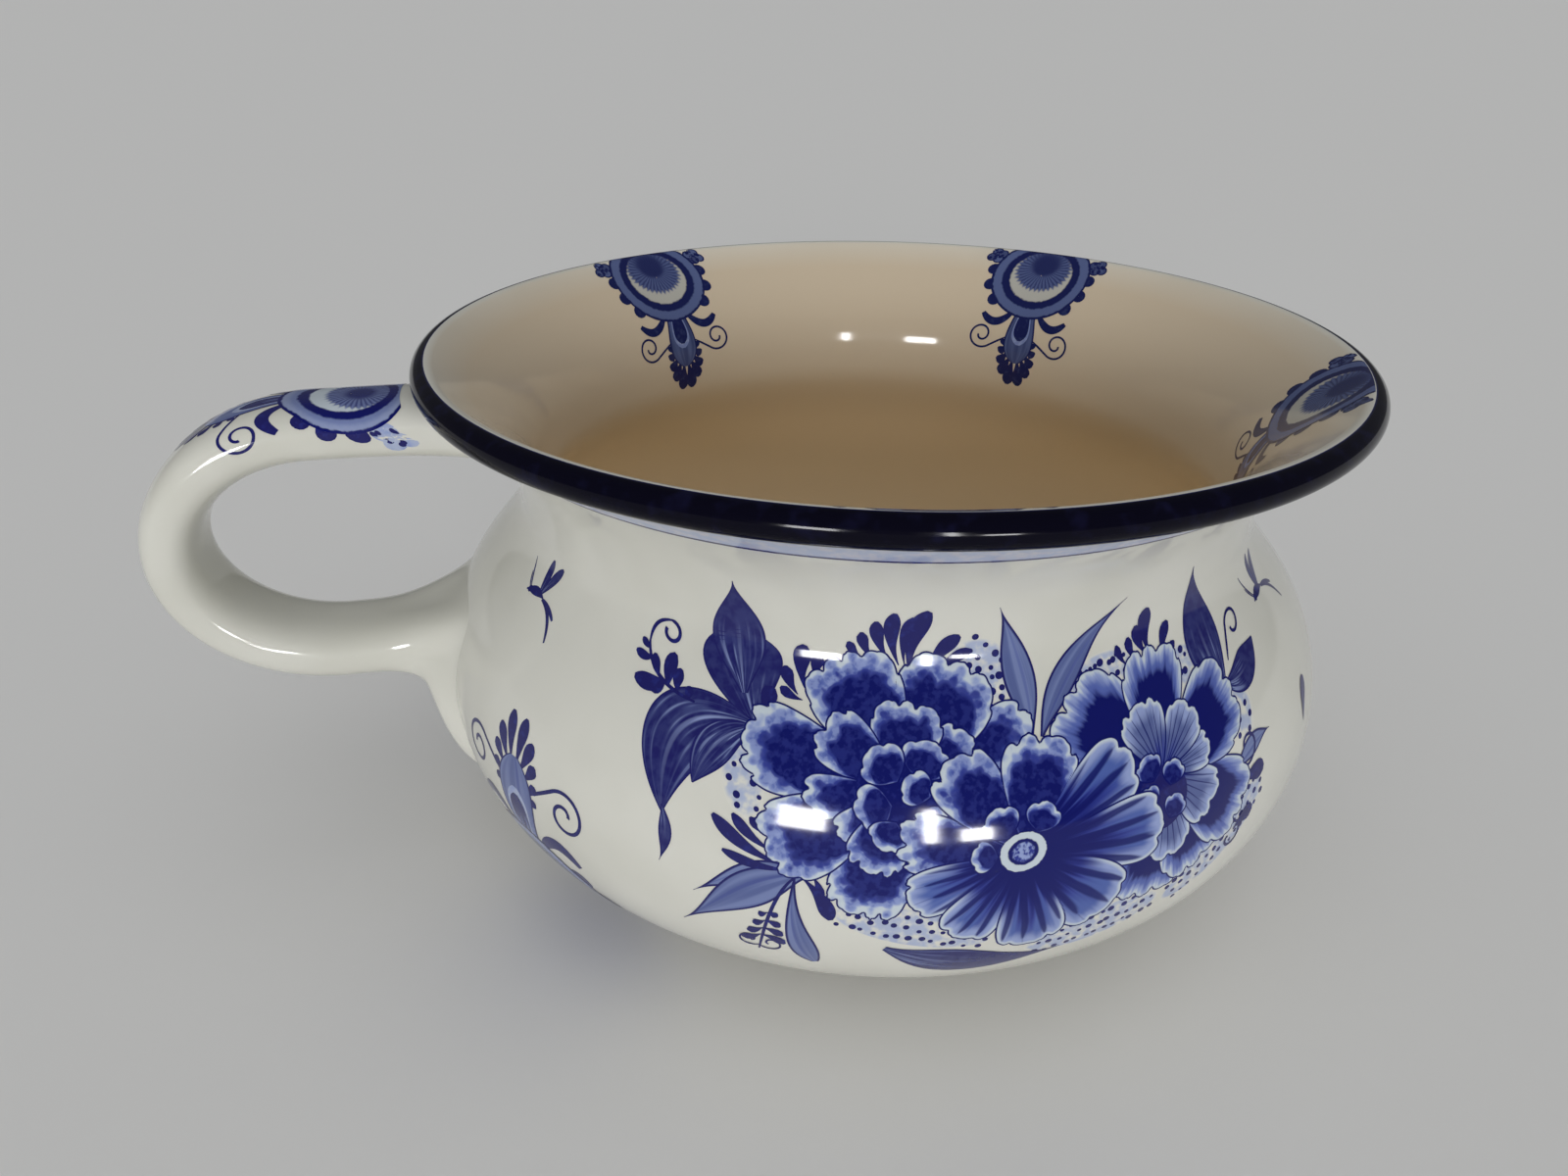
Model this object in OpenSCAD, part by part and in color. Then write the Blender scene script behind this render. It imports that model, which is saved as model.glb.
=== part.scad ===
// Glazed earthenware chamber pot: a round bowl with a flared mouth, a rolled rim, a foot ring
// and one strap handle. Z is the pot's axis, the pot stands on z = 0 and the handle points to -X.

/* [Bowl] */
// Height from the standing face to the top of the rim
pot_h = 141.5; // [132:0.5:160]
// Outer diameter of the neck, the narrowest place
neck_d = 194; // [180:1:206]
// Height of the neck above the standing face
neck_h = 104; // [96:0.5:112]
// Outer diameter of the belly
belly_d = 241; // [222:1:262]
// Height of the widest part of the belly
belly_h = 54; // [46:0.5:62]
// Thickness of the wall
wall = 5.5; // [4:0.5:8]
// Thickness of the floor
floor_t = 7; // [5:0.5:10]

/* [Rim] */
// Outer diameter of the rim
rim_d = 240; // [226:1:258]
// Thickness of the rolled rim
bead_d = 7.2; // [6:0.2:9]

/* [Foot] */
// Outer diameter of the foot ring
foot_d = 124; // [100:1:140]
// Width of the standing face
foot_w = 8; // [5:0.5:14]
// Height of the foot ring
foot_h = 3; // [2:0.25:6]

/* [Handle] */
// Width of the strap
handle_w = 28; // [20:0.5:36]
// Thickness of the strap
handle_t = 14; // [10:0.5:16]
// Reach of the handle beyond the widest part of the pot
handle_out = 68.5; // [62:0.5:84]
// Depth of the round end of the loop, from the end of its arms
handle_bend = 36.5; // [26:0.5:38]
// Height of the finger gap between the two arms
handle_gap = 46; // [40:0.5:50]
// Distance from the rim's top down to the middle of the upper arm
handle_drop = 16.3; // [15:0.1:20]

/* [Joins] */
// Length of each join, from the bowl to the end of the strap
join_l = 13; // [9:0.5:16]
// How far a join spreads on either side of the strap
join_spread = 5; // [2:0.5:8]
// How far a join spreads along the wall, into the finger gap
join_rise = 7; // [3:0.5:9]
// Distance from the widest part of the belly down to the tip of the tail
tail_drop = 27; // [18:0.5:34]

/* [Hidden] */

glaze = [0.85, 0.85, 0.81];
cobalt = [0.09, 0.08, 0.17];
biscuit = [0.78, 0.68, 0.56];

// Steps in one curve of the bowl's outline, round the axis, round the bead and along the handle
curve_steps = 10;
turn_steps = 120;
bead_steps = 48;
bend_steps = 28;
join_steps = 14;
// Points round the strap's section and the power of its rounded oval
section_steps = 28;
section_power = 2.6;
// Pull of the shoulder's curve at the belly and at the neck, and of the flare at the neck and rim
shoulder_pull = 0.6;
neck_pull = 0.25;
flare_pull = 0.55;
lip_pull = 0.35;
// Lean of the flare at the rim, measured from upright
flare_lean = 55;
// Where the lip ends in the bead, in shares of the bead's radius outwards and upwards
lip_seat = [0.35, -0.5];
// Share of the wall's thickness that is left at the lip
lip_share = 0.9;
// How the tail thins out: below 1 it drops at once, above 1 it lingers
tail_power = 0.9;

rim_r = rim_d / 2;
neck_r = neck_d / 2;
belly_r = belly_d / 2;
foot_r = foot_d / 2;
bead_r = bead_d / 2;
bead_c = [rim_r - bead_r, pot_h - bead_r];
// The lip's outer corner lies inside the bead, so the bead is seated in it all round
lip_out = bead_c + bead_r * lip_seat;
lip_in = lip_out - lip_share * wall * [cos(flare_lean), -sin(flare_lean)];

pot_r = max(rim_r, belly_r);
loop_r = pot_r + handle_out - handle_t / 2;
arm_r = loop_r - handle_bend;
upper_h = pot_h - handle_drop;
lower_h = upper_h - handle_gap - handle_t;
mid_h = (upper_h + lower_h) / 2;
loop_half_h = (upper_h - lower_h) / 2;
upper_end_r = rim_r + join_l;
lower_end_r = belly_r + join_l;
tail_h = belly_h - tail_drop;
tail_r = foot_r + (belly_r - foot_r) * sqrt(1 - pow(tail_drop / (belly_h - foot_h), 2));

function bezier(a, b, c, d) = [
    for (i = [0 : curve_steps]) let (t = i / curve_steps)
        pow(1 - t, 3) * a + 3 * pow(1 - t, 2) * t * b + 3 * (1 - t) * t * t * c + pow(t, 3) * d
];

// Quarter oval from the floor out to the belly
function lower_curve(r, bottom_h) = [
    for (i = [0 : curve_steps]) let (a = 90 * i / curve_steps)
        [foot_r + (r - foot_r) * sin(a), belly_h - (belly_h - bottom_h) * cos(a)]
];

// From the belly up to the neck, upright at both ends
function shoulder_curve(r, waist_r) = let (l = neck_h - belly_h)
    bezier([r, belly_h], [r, belly_h + shoulder_pull * l], [waist_r, neck_h - neck_pull * l], [waist_r, neck_h]);

// From the neck out to the lip, leaning outwards at the lip
function flare_curve(waist_r, lip) = let (l = lip[1] - neck_h)
    bezier([waist_r, neck_h], [waist_r, neck_h + flare_pull * l],
        lip - lip_pull * l * [sin(flare_lean), cos(flare_lean)], lip);

function rest(list) = [for (i = [1 : len(list) - 1]) list[i]];
function reversed(list) = [for (i = [len(list) - 1 : -1 : 0]) list[i]];
function wall_curve(r, waist_r, bottom_h, lip) = concat(lower_curve(r, bottom_h),
    rest(shoulder_curve(r, waist_r)), rest(flare_curve(waist_r, lip)));

outside = wall_curve(belly_r, neck_r, foot_h, lip_out);
inside = wall_curve(belly_r - wall, neck_r - wall, foot_h + floor_t, lip_in);

module revolve() {
    rotate_extrude($fn = turn_steps) children();
}

module bead_section() {
    translate(bead_c) circle(r = bead_r, $fn = bead_steps);
}

// The bowl's outer shape, filled: what the handle's joins are cut to
module bowl_filled() {
    revolve() polygon(concat([[0, foot_h]], outside, [[0, lip_out[1]]]));
}

module bowl_body() {
    color(glaze) revolve() difference() {
        polygon(concat([[0, foot_h]], outside, reversed(inside), [[0, foot_h + floor_t]]));
        bead_section();
    }
}

module rim_band() {
    color(cobalt) revolve() bead_section();
}

module foot_ring() {
    color(biscuit) revolve() translate([foot_r - foot_w, 0]) square([foot_w, foot_h]);
}

// One point of a rounded oval, w across and t thick, at the angle a
function oval(w, t, a) = let (p = 2 / section_power) [
    w / 2 * sign(cos(a)) * pow(abs(cos(a)), p),
    t / 2 * sign(sin(a)) * pow(abs(sin(a)), p)
];

// A ring of the strap at [distance from the axis, height], square to the direction given by heading
function strap_ring(at, heading, w, t) = [
    for (i = [0 : section_steps - 1])
        let (q = oval(w, t, 360 * i / section_steps))
            [-at[0] + q[1] * sin(heading), q[0], at[1] + q[1] * cos(heading)]
];

// Solid through rings of equal length
module skin(rings) {
    n = section_steps;
    last = len(rings) - 1;
    polyhedron(
        points = [for (ring = rings) each ring],
        faces = concat(
            [[for (i = [0 : n - 1]) i]],
            [for (k = [0 : last - 1], i = [0 : n - 1]) let (j = (i + 1) % n)
                each [[k * n + i, (k + 1) * n + i, (k + 1) * n + j], [k * n + i, (k + 1) * n + j, k * n + j]]],
            [[for (i = [n - 1 : -1 : 0]) last * n + i]]
        )
    );
}

// The loop: upper arm, half an oval, lower arm; the heading is 0 going out and -180 coming back
function loop_rings() = concat(
    [strap_ring([upper_end_r, upper_h], 0, handle_w, handle_t)],
    [for (i = [0 : bend_steps]) let (
        a = 90 - 180 * i / bend_steps,
        at = [arm_r + handle_bend * cos(a), mid_h + loop_half_h * sin(a)],
        heading = atan2(-loop_half_h * cos(a), handle_bend * sin(a))
    ) strap_ring(at, heading, handle_w, handle_t)],
    [strap_ring([lower_end_r, lower_h], -180, handle_w, handle_t)]
);

module handle_strap() {
    color(glaze) skin(loop_rings());
}

// Spread of a join, from nothing at the strap's end to all of it at the wall
function spread(s) = 1 - sqrt(1 - s * s);

// A ring of a join at r, which grows by rise upwards, by drop downwards and by side on both sides
function join_ring(r, h, rise, drop, side) =
    strap_ring([r, h + (rise - drop) / 2], 0, handle_w + 2 * side, handle_t + rise + drop);

// Under the rim: widens towards the neck and grows down along it
function upper_join_rings() = [
    for (i = [join_steps : -1 : 0]) let (s = i / join_steps, r = upper_end_r + (neck_r - upper_end_r) * s)
        join_ring(r, upper_h, 0, join_rise * spread(s), join_spread * spread(s))
];

// On the belly: grows up along the shoulder and runs down in a tail that sinks into the belly
function lower_join_rings() = [
    for (i = [join_steps : -1 : 0]) let (
        s = i / join_steps,
        r = lower_end_r + (tail_r - lower_end_r) * s,
        near = spread(min(1, (lower_end_r - r) / join_l)),
        drop = (lower_h - handle_t / 2 - tail_h) * sin(90 * pow(s, tail_power))
    ) join_ring(r, lower_h, join_rise * near, drop, join_spread * near)
];

module upper_handle_join() {
    color(glaze) difference() {
        skin(upper_join_rings());
        bowl_filled();
        revolve() bead_section();
    }
}

module lower_handle_join() {
    color(glaze) difference() {
        skin(lower_join_rings());
        bowl_filled();
    }
}

bowl_body();
rim_band();
foot_ring();
handle_strap();
upper_handle_join();
lower_handle_join();
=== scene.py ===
"""Looks of a blue and white glazed chamber pot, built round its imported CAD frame."""

from __future__ import annotations

import logging
import math
from dataclasses import dataclass, field
from enum import Enum
from typing import Any, Mapping, Protocol, Sequence, Union

import bpy
import numpy as np
from mathutils import Matrix, Vector

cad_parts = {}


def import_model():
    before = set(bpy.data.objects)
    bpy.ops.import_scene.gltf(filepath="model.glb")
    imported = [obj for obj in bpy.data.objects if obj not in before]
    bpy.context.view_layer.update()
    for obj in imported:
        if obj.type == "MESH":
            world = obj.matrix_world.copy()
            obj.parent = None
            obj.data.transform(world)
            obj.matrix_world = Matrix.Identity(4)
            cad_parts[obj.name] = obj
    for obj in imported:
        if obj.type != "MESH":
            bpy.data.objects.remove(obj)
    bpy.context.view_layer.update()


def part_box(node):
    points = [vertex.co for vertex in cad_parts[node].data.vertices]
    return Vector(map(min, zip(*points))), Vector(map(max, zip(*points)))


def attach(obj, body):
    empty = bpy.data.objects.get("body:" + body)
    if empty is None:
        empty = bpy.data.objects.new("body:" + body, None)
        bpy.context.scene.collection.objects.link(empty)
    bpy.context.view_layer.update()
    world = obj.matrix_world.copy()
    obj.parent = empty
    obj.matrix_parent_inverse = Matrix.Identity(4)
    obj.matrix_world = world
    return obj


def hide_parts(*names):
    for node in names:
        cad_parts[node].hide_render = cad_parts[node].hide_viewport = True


LOG = logging.getLogger("chamber_pot")
MM = 0.001
BODY = "root"
GOLDEN = 0.618034
NOTHING = 1e-6
DROP_BOW = 0.16
STRIP_STEP = 0.7

Array = np.ndarray
Colour = tuple[float, float, float, float]
Point = tuple[float, float]
Point3 = tuple[float, float, float]
Span = tuple[float, float]
Tone = tuple[float, float, Colour]
Paint = Union[Colour, bpy.types.NodeSocket]


def srgb(red: int, green: int, blue: int) -> Colour:
    """Turns a paint chip's screen values into linear light.

    Args:
        red: Red of the chip, 0 to 255.
        green: Green of the chip, 0 to 255.
        blue: Blue of the chip, 0 to 255.

    Returns:
        The colour as Blender's sockets take it.
    """
    def linear(level: int) -> float:
        """One channel in linear light."""
        share = level / 255
        return share / 12.92 if share <= 0.04045 else ((share + 0.055) / 1.055) ** 2.4

    return (linear(red), linear(green), linear(blue), 1.0)


GLAZE_WHITE = srgb(216, 215, 206)
GLAZE_GREY = srgb(208, 207, 197)
# Darker, greyer copies of the white and the inks for the prints inside the mouth: painted shade.
SHADED_WHITE = srgb(176, 174, 166)
SHADED_BLUE = srgb(84, 96, 138)
SHADED_SLATE = srgb(58, 67, 108)
SHADED_NAVY = srgb(22, 29, 80)
# Inside glaze: cream, partly its own tone and partly painted shade and warm reflected light; the
# lighter cream low in the bowl is painted light.
CREAM_WITH_PAINTED_SHADE = srgb(203, 187, 163)
CREAM_WITH_PAINTED_LIGHT = srgb(240, 221, 188)
SPECK_BROWN = srgb(96, 88, 78)
CLAY = srgb(206, 184, 152)
CLAY_STAIN = srgb(170, 142, 108)
PETAL_WHITE = srgb(196, 206, 214)
PALE_BLUE = srgb(146, 160, 204)
LAVENDER = srgb(170, 180, 206)
RIM_TINT = srgb(190, 190, 204)
MID_BLUE = srgb(86, 102, 172)
LEAF_BLUE = srgb(116, 129, 174)
SLATE_BLUE = srgb(88, 100, 150)
DUSK_BLUE = srgb(52, 58, 114)
FINGER_BLUE = srgb(78, 98, 166)
ROYAL_BLUE = srgb(44, 54, 138)
NAVY = srgb(15, 21, 98)
INK_NAVY = srgb(32, 32, 98)
RIM_COBALT = srgb(9, 8, 22)
RIM_EDGE = srgb(44, 46, 96)


class Value:
    """A number in a material's nodes; sums and products on it add Math nodes."""

    def __init__(self, graph: Graph, socket: bpy.types.NodeSocket) -> None:
        """Keeps the socket and the graph that it belongs to."""
        self.graph = graph
        self.socket = socket

    def math(self, operation: str, first: Number, second: Number = 0.0) -> Value:
        """Adds one Math node.

        Args:
            operation: Blender's name of the operation.
            first: First number.
            second: Second number, where the operation has one.

        Returns:
            The result.
        """
        node = self.graph.add("ShaderNodeMath", {"operation": operation}, {0: first, 1: second})
        return Value(self.graph, node.outputs[0])

    def __add__(self, other: Number) -> Value:
        """Sum."""
        return self.math("ADD", self, other)

    def __sub__(self, other: Number) -> Value:
        """Difference."""
        return self.math("SUBTRACT", self, other)

    def __rsub__(self, other: Number) -> Value:
        """Difference, from a plain number."""
        return self.math("SUBTRACT", other, self)

    def __mul__(self, other: Number) -> Value:
        """Product."""
        return self.math("MULTIPLY", self, other)

    def __truediv__(self, other: Number) -> Value:
        """Quotient."""
        return self.math("DIVIDE", self, other)

    def __pow__(self, other: Number) -> Value:
        """Power."""
        return self.math("POWER", self, other)

    __radd__ = __add__
    __rmul__ = __mul__

    def size(self) -> Value:
        """The number without its sign."""
        return self.math("ABSOLUTE", self)

    def saw(self) -> Value:
        """Distance from the nearest whole number, 0 to 1 at the half."""
        return (self.math("FRACT", self + 0.5) - 0.5).size() * 2

    def step(self, low: float, high: float) -> Value:
        """A soft step.

        Args:
            low: Where the step is 0.
            high: Where the step is 1; below low, the step falls.

        Returns:
            A number from 0 to 1.
        """
        node = self.graph.add("ShaderNodeMapRange", {"interpolation_type": "SMOOTHSTEP"},
                              {"Value": self, "From Min": low, "From Max": high})
        return Value(self.graph, node.outputs[0])


Number = Union[float, Value]


@dataclass(frozen=True)
class Gloss:
    """Surface of a fired glaze: how sharp it mirrors and how it ripples (mm)."""

    roughness: float = 0.07
    uneven: float = 0.05
    coat: float = 0.04
    coat_roughness: float = 0.03
    index: float = 1.5
    mirror: float = 0.3
    ripple_size: float = 9.0
    ripple_depth: float = 0.012


class Graph:
    """Nodes of one material, or of the world."""

    def __init__(self, tree: bpy.types.NodeTree) -> None:
        """Clears the tree for new nodes."""
        self.tree = tree
        tree.nodes.clear()

    def add(self, kind: str, settings: Mapping[str, Any],
            inputs: Mapping[Union[str, int], Any]) -> bpy.types.Node:
        """Adds one node.

        Args:
            kind: Blender's type of the node.
            settings: The node's own settings, set first.
            inputs: What its sockets hold or are linked to, by name or place.

        Returns:
            The node.
        """
        node = self.tree.nodes.new(kind)
        for key, setting in settings.items():
            setattr(node, key, setting)
        for key, given in inputs.items():
            source = given.socket if isinstance(given, Value) else given
            if isinstance(source, bpy.types.NodeSocket):
                self.tree.links.new(source, node.inputs[key])
            else:
                node.inputs[key].default_value = source
        return node

    def attribute(self, name: str) -> Value:
        """A number that the mesh holds at each of its points."""
        node = self.add("ShaderNodeAttribute", {"attribute_name": name}, {})
        return Value(self, node.outputs["Fac"])

    def attributes(self, *names: str) -> list[Value]:
        """Several numbers that the mesh holds at each of its points."""
        return [self.attribute(name) for name in names]

    def place(self) -> bpy.types.NodeSocket:
        """Place on the pot, in mm.

        Returns:
            The socket that holds it.
        """
        where = self.add("ShaderNodeTexCoord", {}, {}).outputs["Object"]
        return self.add("ShaderNodeVectorMath", {"operation": "SCALE"},
                        {0: where, "Scale": 1 / MM}).outputs[0]

    def height(self) -> Value:
        """Height above the standing face, in mm."""
        return Value(self, self.add("ShaderNodeSeparateXYZ", {}, {0: self.place()}).outputs[2])

    def flat(self, first: Number, second: Number, third: Number = 0.0) -> bpy.types.NodeSocket:
        """A place made of up to three numbers, for a pattern that follows a shape."""
        return self.add("ShaderNodeCombineXYZ", {}, {0: first, 1: second, 2: third}).outputs[0]

    def noise(self, where: bpy.types.NodeSocket, size: float, detail: float = 2.0) -> Value:
        """Soft random pattern.

        Args:
            where: Place that the pattern is read at.
            size: Size of its larger blots, in the place's own unit.
            detail: How many finer layers it has.

        Returns:
            A number that is mostly from 0.3 to 0.7.
        """
        node = self.add("ShaderNodeTexNoise", {}, {"Vector": where, "Scale": 1 / size,
                                                   "Detail": detail})
        return Value(self, node.outputs["Fac"])

    def cells(self, where: bpy.types.NodeSocket, size: float) -> Value:
        """Distance from the nearest of many scattered points, in cells of that size."""
        node = self.add("ShaderNodeTexVoronoi", {}, {"Vector": where, "Scale": 1 / size})
        return Value(self, node.outputs["Distance"])

    def mix(self, share: Number, base: Paint, over: Paint) -> bpy.types.NodeSocket:
        """Lays one colour over another.

        Args:
            share: How far the second covers the first, 0 to 1.
            base: Colour below.
            over: Colour above.

        Returns:
            The mixed colour.
        """
        return self.add("ShaderNodeMix", {"data_type": "RGBA"},
                        {0: share, 6: base, 7: over}).outputs[2]

    def tones(self, depth: Value, base: Paint, *tones: Tone) -> Paint:
        """Lays tones over a base colour in turn.

        Args:
            depth: Number that the tones follow.
            base: Colour below them.
            *tones: Where each starts, where it is full, and its colour.

        Returns:
            The colour with all of them.
        """
        for low, high, tone in tones:
            base = self.mix(depth.step(low, high), base, tone)
        return base

    def outlined(self, edge: Value, line: float, tint: Paint, ink: Colour,
                 soft: Span = (1.3, 0.7)) -> Paint:
        """Colour inside an outline, which softens between two shares of its width."""
        return self.mix(edge.step(line * soft[0], line * soft[1]), tint, ink)

    def glaze(self, colour: Paint, gloss: Gloss) -> None:
        """Closes a material with a glassy glaze over the colour.

        Args:
            colour: Colour under the glaze.
            gloss: How the glaze mirrors.
        """
        ripple = self.noise(self.place(), gloss.ripple_size, 1.0)
        bump = self.add("ShaderNodeBump", {}, {"Strength": 1.0, "Height": ripple,
                                               "Distance": gloss.ripple_depth * MM})
        rough = self.noise(self.place(), gloss.ripple_size / 3) * gloss.uneven + gloss.roughness
        self.close({"Base Color": colour, "Roughness": rough, "IOR": gloss.index,
                    "Specular IOR Level": gloss.mirror, "Coat Weight": gloss.coat,
                    "Coat Roughness": gloss.coat_roughness, "Normal": bump.outputs[0]})

    def close(self, inputs: Mapping[str, Any]) -> None:
        """Closes a material with a surface of those values."""
        shader = self.add("ShaderNodeBsdfPrincipled", {}, inputs)
        self.add("ShaderNodeOutputMaterial", {}, {"Surface": shader.outputs[0]})


def new_material(name: str) -> tuple[bpy.types.Material, Graph]:
    """Starts an empty material.

    Args:
        name: Its name.

    Returns:
        The material and its nodes.
    """
    material = bpy.data.materials.new(name)
    material.use_nodes = True
    return material, Graph(material.node_tree)


@dataclass(frozen=True)
class Finish:
    """A colour under glaze; each kind of finish paints its own."""

    name: str
    gloss: Gloss = Gloss()

    def colour(self, graph: Graph) -> Paint:
        """The finish's colour over the surface."""
        raise NotImplementedError

    def material(self) -> bpy.types.Material:
        """Makes the finish's material.

        Returns:
            The material.
        """
        material, graph = new_material(self.name)
        graph.glaze(self.colour(graph), self.gloss)
        return material


@dataclass(frozen=True)
class WhiteGlaze(Finish):
    """Tin-white glaze, creamier inside the pot, with faint clouds and a few specks; the inside's
    cream carries painted shade, and painted light deep in the bowl.
    """

    name: str = "white_glaze"
    cloud: float = 34.0
    cloudy: Span = (0.35, 0.7)
    # Heights over which the inside's cream turns into the lighter cream of the painted light deep
    # in the bowl.
    cream: Span = (112.0, 70.0)
    speck_cell: float = 21.0
    speck: Span = (0.017, 0.0102)
    speck_share: float = 0.8

    def colour(self, graph: Graph) -> Paint:
        """Clouded white, cream with painted shade where the mesh says it is inside and painted
        light deep down, specks on top.

        Args:
            graph: Its nodes.

        Returns:
            The colour.
        """
        where = graph.place()
        tint = graph.mix(graph.noise(where, self.cloud).step(*self.cloudy), GLAZE_WHITE,
                         GLAZE_GREY)
        # Inside: cream with painted shade, turning lighter low in the bowl as painted light.
        cream = graph.mix(graph.height().step(*self.cream), CREAM_WITH_PAINTED_SHADE, CREAM_WITH_PAINTED_LIGHT)
        tint = graph.mix(graph.attribute("inner"), tint, cream)
        specks = graph.cells(where, self.speck_cell).step(*self.speck)
        return graph.mix(specks * self.speck_share, tint, SPECK_BROWN)


@dataclass(frozen=True)
class CobaltBand(Finish):
    """Thick dark cobalt of the rim, bluer where it thins out at its edges."""

    name: str = "cobalt_band"
    gloss: Gloss = Gloss(coat=0.0, mirror=0.1)
    thin: Span = (0.5, 0.0)
    thin_share: float = 0.8
    streak: float = 5.0
    streaky: Span = (0.5, 0.75)
    streak_share: float = 0.12

    def colour(self, graph: Graph) -> Paint:
        """Near black, with blue edges and faint brush streaks.

        Args:
            graph: Its nodes.

        Returns:
            The colour.
        """
        streaks = graph.noise(graph.place(), self.streak).step(*self.streaky)
        body = graph.mix(streaks * self.streak_share, RIM_COBALT, RIM_EDGE)
        edge = graph.attribute("edge").step(*self.thin)
        return graph.mix(edge * self.thin_share, body, RIM_EDGE)


@dataclass(frozen=True)
class FootClay(Finish):
    """Foot ring: glazed at the side, bare stained clay where it stands."""

    name: str = "foot_clay"
    gloss: Gloss = Gloss(roughness=0.5, uneven=0.3, coat=0.0, ripple_size=1.2,
                         ripple_depth=0.05)
    stain: float = 3.0
    stained: Span = (0.4, 0.7)
    stain_share: float = 0.6
    glaze_line: Span = (1.2, 1.6)
    wave: float = 6.0
    wave_depth: float = 1.2

    def colour(self, graph: Graph) -> Paint:
        """Clay below the wavy line where the glaze was wiped off.

        Args:
            graph: Its nodes.

        Returns:
            The colour.
        """
        where = graph.place()
        stain = graph.noise(where, self.stain).step(*self.stained)
        clay = graph.mix(stain * self.stain_share, CLAY, CLAY_STAIN)
        line = graph.height() + (graph.noise(where, self.wave) - 0.5) * self.wave_depth
        return graph.mix(line.step(*self.glaze_line), clay, GLAZE_GREY)


@dataclass(frozen=True)
class RimmedPetal(Finish):
    """A petal with a pale band inside its rim, which narrows towards the foot."""

    line: float = 0.38
    narrow: float = 0.15
    widen: Span = (0.45, 0.9)

    def depth(self, graph: Graph, edge: Value) -> Value:
        """Distance in from the rim, 1 at the band's inner side."""
        along, band = graph.attributes("along", "band")
        return edge / (band * (along.step(*self.widen) * (1 - self.narrow) + self.narrow))


@dataclass(frozen=True)
class DabbedPetal(RimmedPetal):
    """Petal dabbed with a round brush: white rim, mottled pale band, full navy foot."""

    name: str = "dabbed_petal"
    dab: float = 2.3
    dab_share: float = 0.75
    dab_middle: float = 0.48
    wander: float = 3.0
    wander_share: float = 0.5
    cloud: float = 1.5
    cloudy: Span = (0.42, 0.62)

    def colour(self, graph: Graph) -> Paint:
        """White, clouds of mid blue, round dabs, navy and the outline.

        Args:
            graph: Its nodes.

        Returns:
            The colour.
        """
        edge, where = graph.attribute("edge"), graph.place()
        dabs = (self.dab_middle - graph.cells(where, self.dab)) * self.dab_share
        wander = (graph.noise(where, self.wander) - 0.5) * self.wander_share
        depth = self.depth(graph, edge) + dabs + wander
        clouds = graph.noise(where, self.cloud).step(*self.cloudy)
        tint = graph.mix(depth.step(0.04, 0.32), PETAL_WHITE, PALE_BLUE)
        tint = graph.mix((clouds * 0.6 + 0.35) * depth.step(0.2, 0.55), tint, MID_BLUE)
        tint = graph.mix(depth.step(0.56, 0.8) * 0.9, tint, ROYAL_BLUE)
        tint = graph.mix(depth.step(0.78, 1.2) * (1 - clouds * 0.35), tint, NAVY)
        return graph.outlined(edge, self.line, tint, NAVY)


@dataclass(frozen=True)
class FingeredPetal(Finish):
    """Petal with a blue ground dragged out from its navy foot, and fingers that run out of it."""

    name: str = "fingered_petal"
    ground: Colour = FINGER_BLUE
    lanes: float = 2.4
    thick: float = 0.85
    blunt: float = 0.5
    length: float = 0.9
    ragged: float = 0.55
    foot: float = 0.44
    line: float = 0.38
    drag: float = 0.14

    def colour(self, graph: Graph) -> Paint:
        """Dragged ground, pale rim, fingers, navy foot and the outline.

        Args:
            graph: Its nodes.

        Returns:
            The colour.
        """
        edge, along, across, seed = graph.attributes("edge", "along", "across", "seed")
        lanes = across * self.lanes + seed
        wander = graph.noise(graph.flat(lanes, along * 2, seed), 1.2)
        drag = graph.noise(graph.flat(across, along * 0.25, seed), self.drag, 1.0) - 0.5
        out = along + drag * 0.7
        tint = graph.mix(out.step(self.foot, self.foot + 0.4), ROYAL_BLUE, self.ground)
        pale = (edge + drag * 4).step(4.4, 1.2) * along.step(0.45, 0.75)
        tint = graph.mix(pale, tint, PALE_BLUE)
        tint = graph.mix(edge.step(1.5, 0.5) * along.step(0.5, 0.8), tint, PETAL_WHITE)
        reach = (wander - 0.5) * self.ragged + self.length
        fingers = (1 - along / reach) ** self.blunt * self.thick - (lanes + wander * 0.5).saw()
        tint = graph.mix(fingers.step(-0.14, 0.16) * edge.step(0.7, 1.5) * 0.9, tint, NAVY)
        tint = graph.mix(out.step(self.foot + 0.16, self.foot - 0.12), tint, NAVY)
        return graph.outlined(edge, self.line, tint, NAVY)


@dataclass(frozen=True)
class HatchedPetal(RimmedPetal):
    """Dark petal whose navy runs out to a white rim in fine strokes."""

    name: str = "hatched_petal"
    widen: Span = (0.4, 0.85)
    strokes: float = 0.06
    stroke_share: float = 0.8

    def colour(self, graph: Graph) -> Paint:
        """White rim, blue fringe of strokes, navy inside, outline.

        Args:
            graph: Its nodes.

        Returns:
            The colour.
        """
        edge, along, across, seed = graph.attributes("edge", "along", "across", "seed")
        comb = graph.noise(graph.flat(across, along * 0.12, seed), self.strokes, 1.0)
        depth = self.depth(graph, edge) + (comb - 0.5) * self.stroke_share
        tint = graph.tones(depth, PETAL_WHITE, (0.1, 0.38, PALE_BLUE), (0.3, 0.75, MID_BLUE),
                           (0.75, 1.3, NAVY))
        return graph.outlined(edge, self.line, tint, NAVY)


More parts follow.
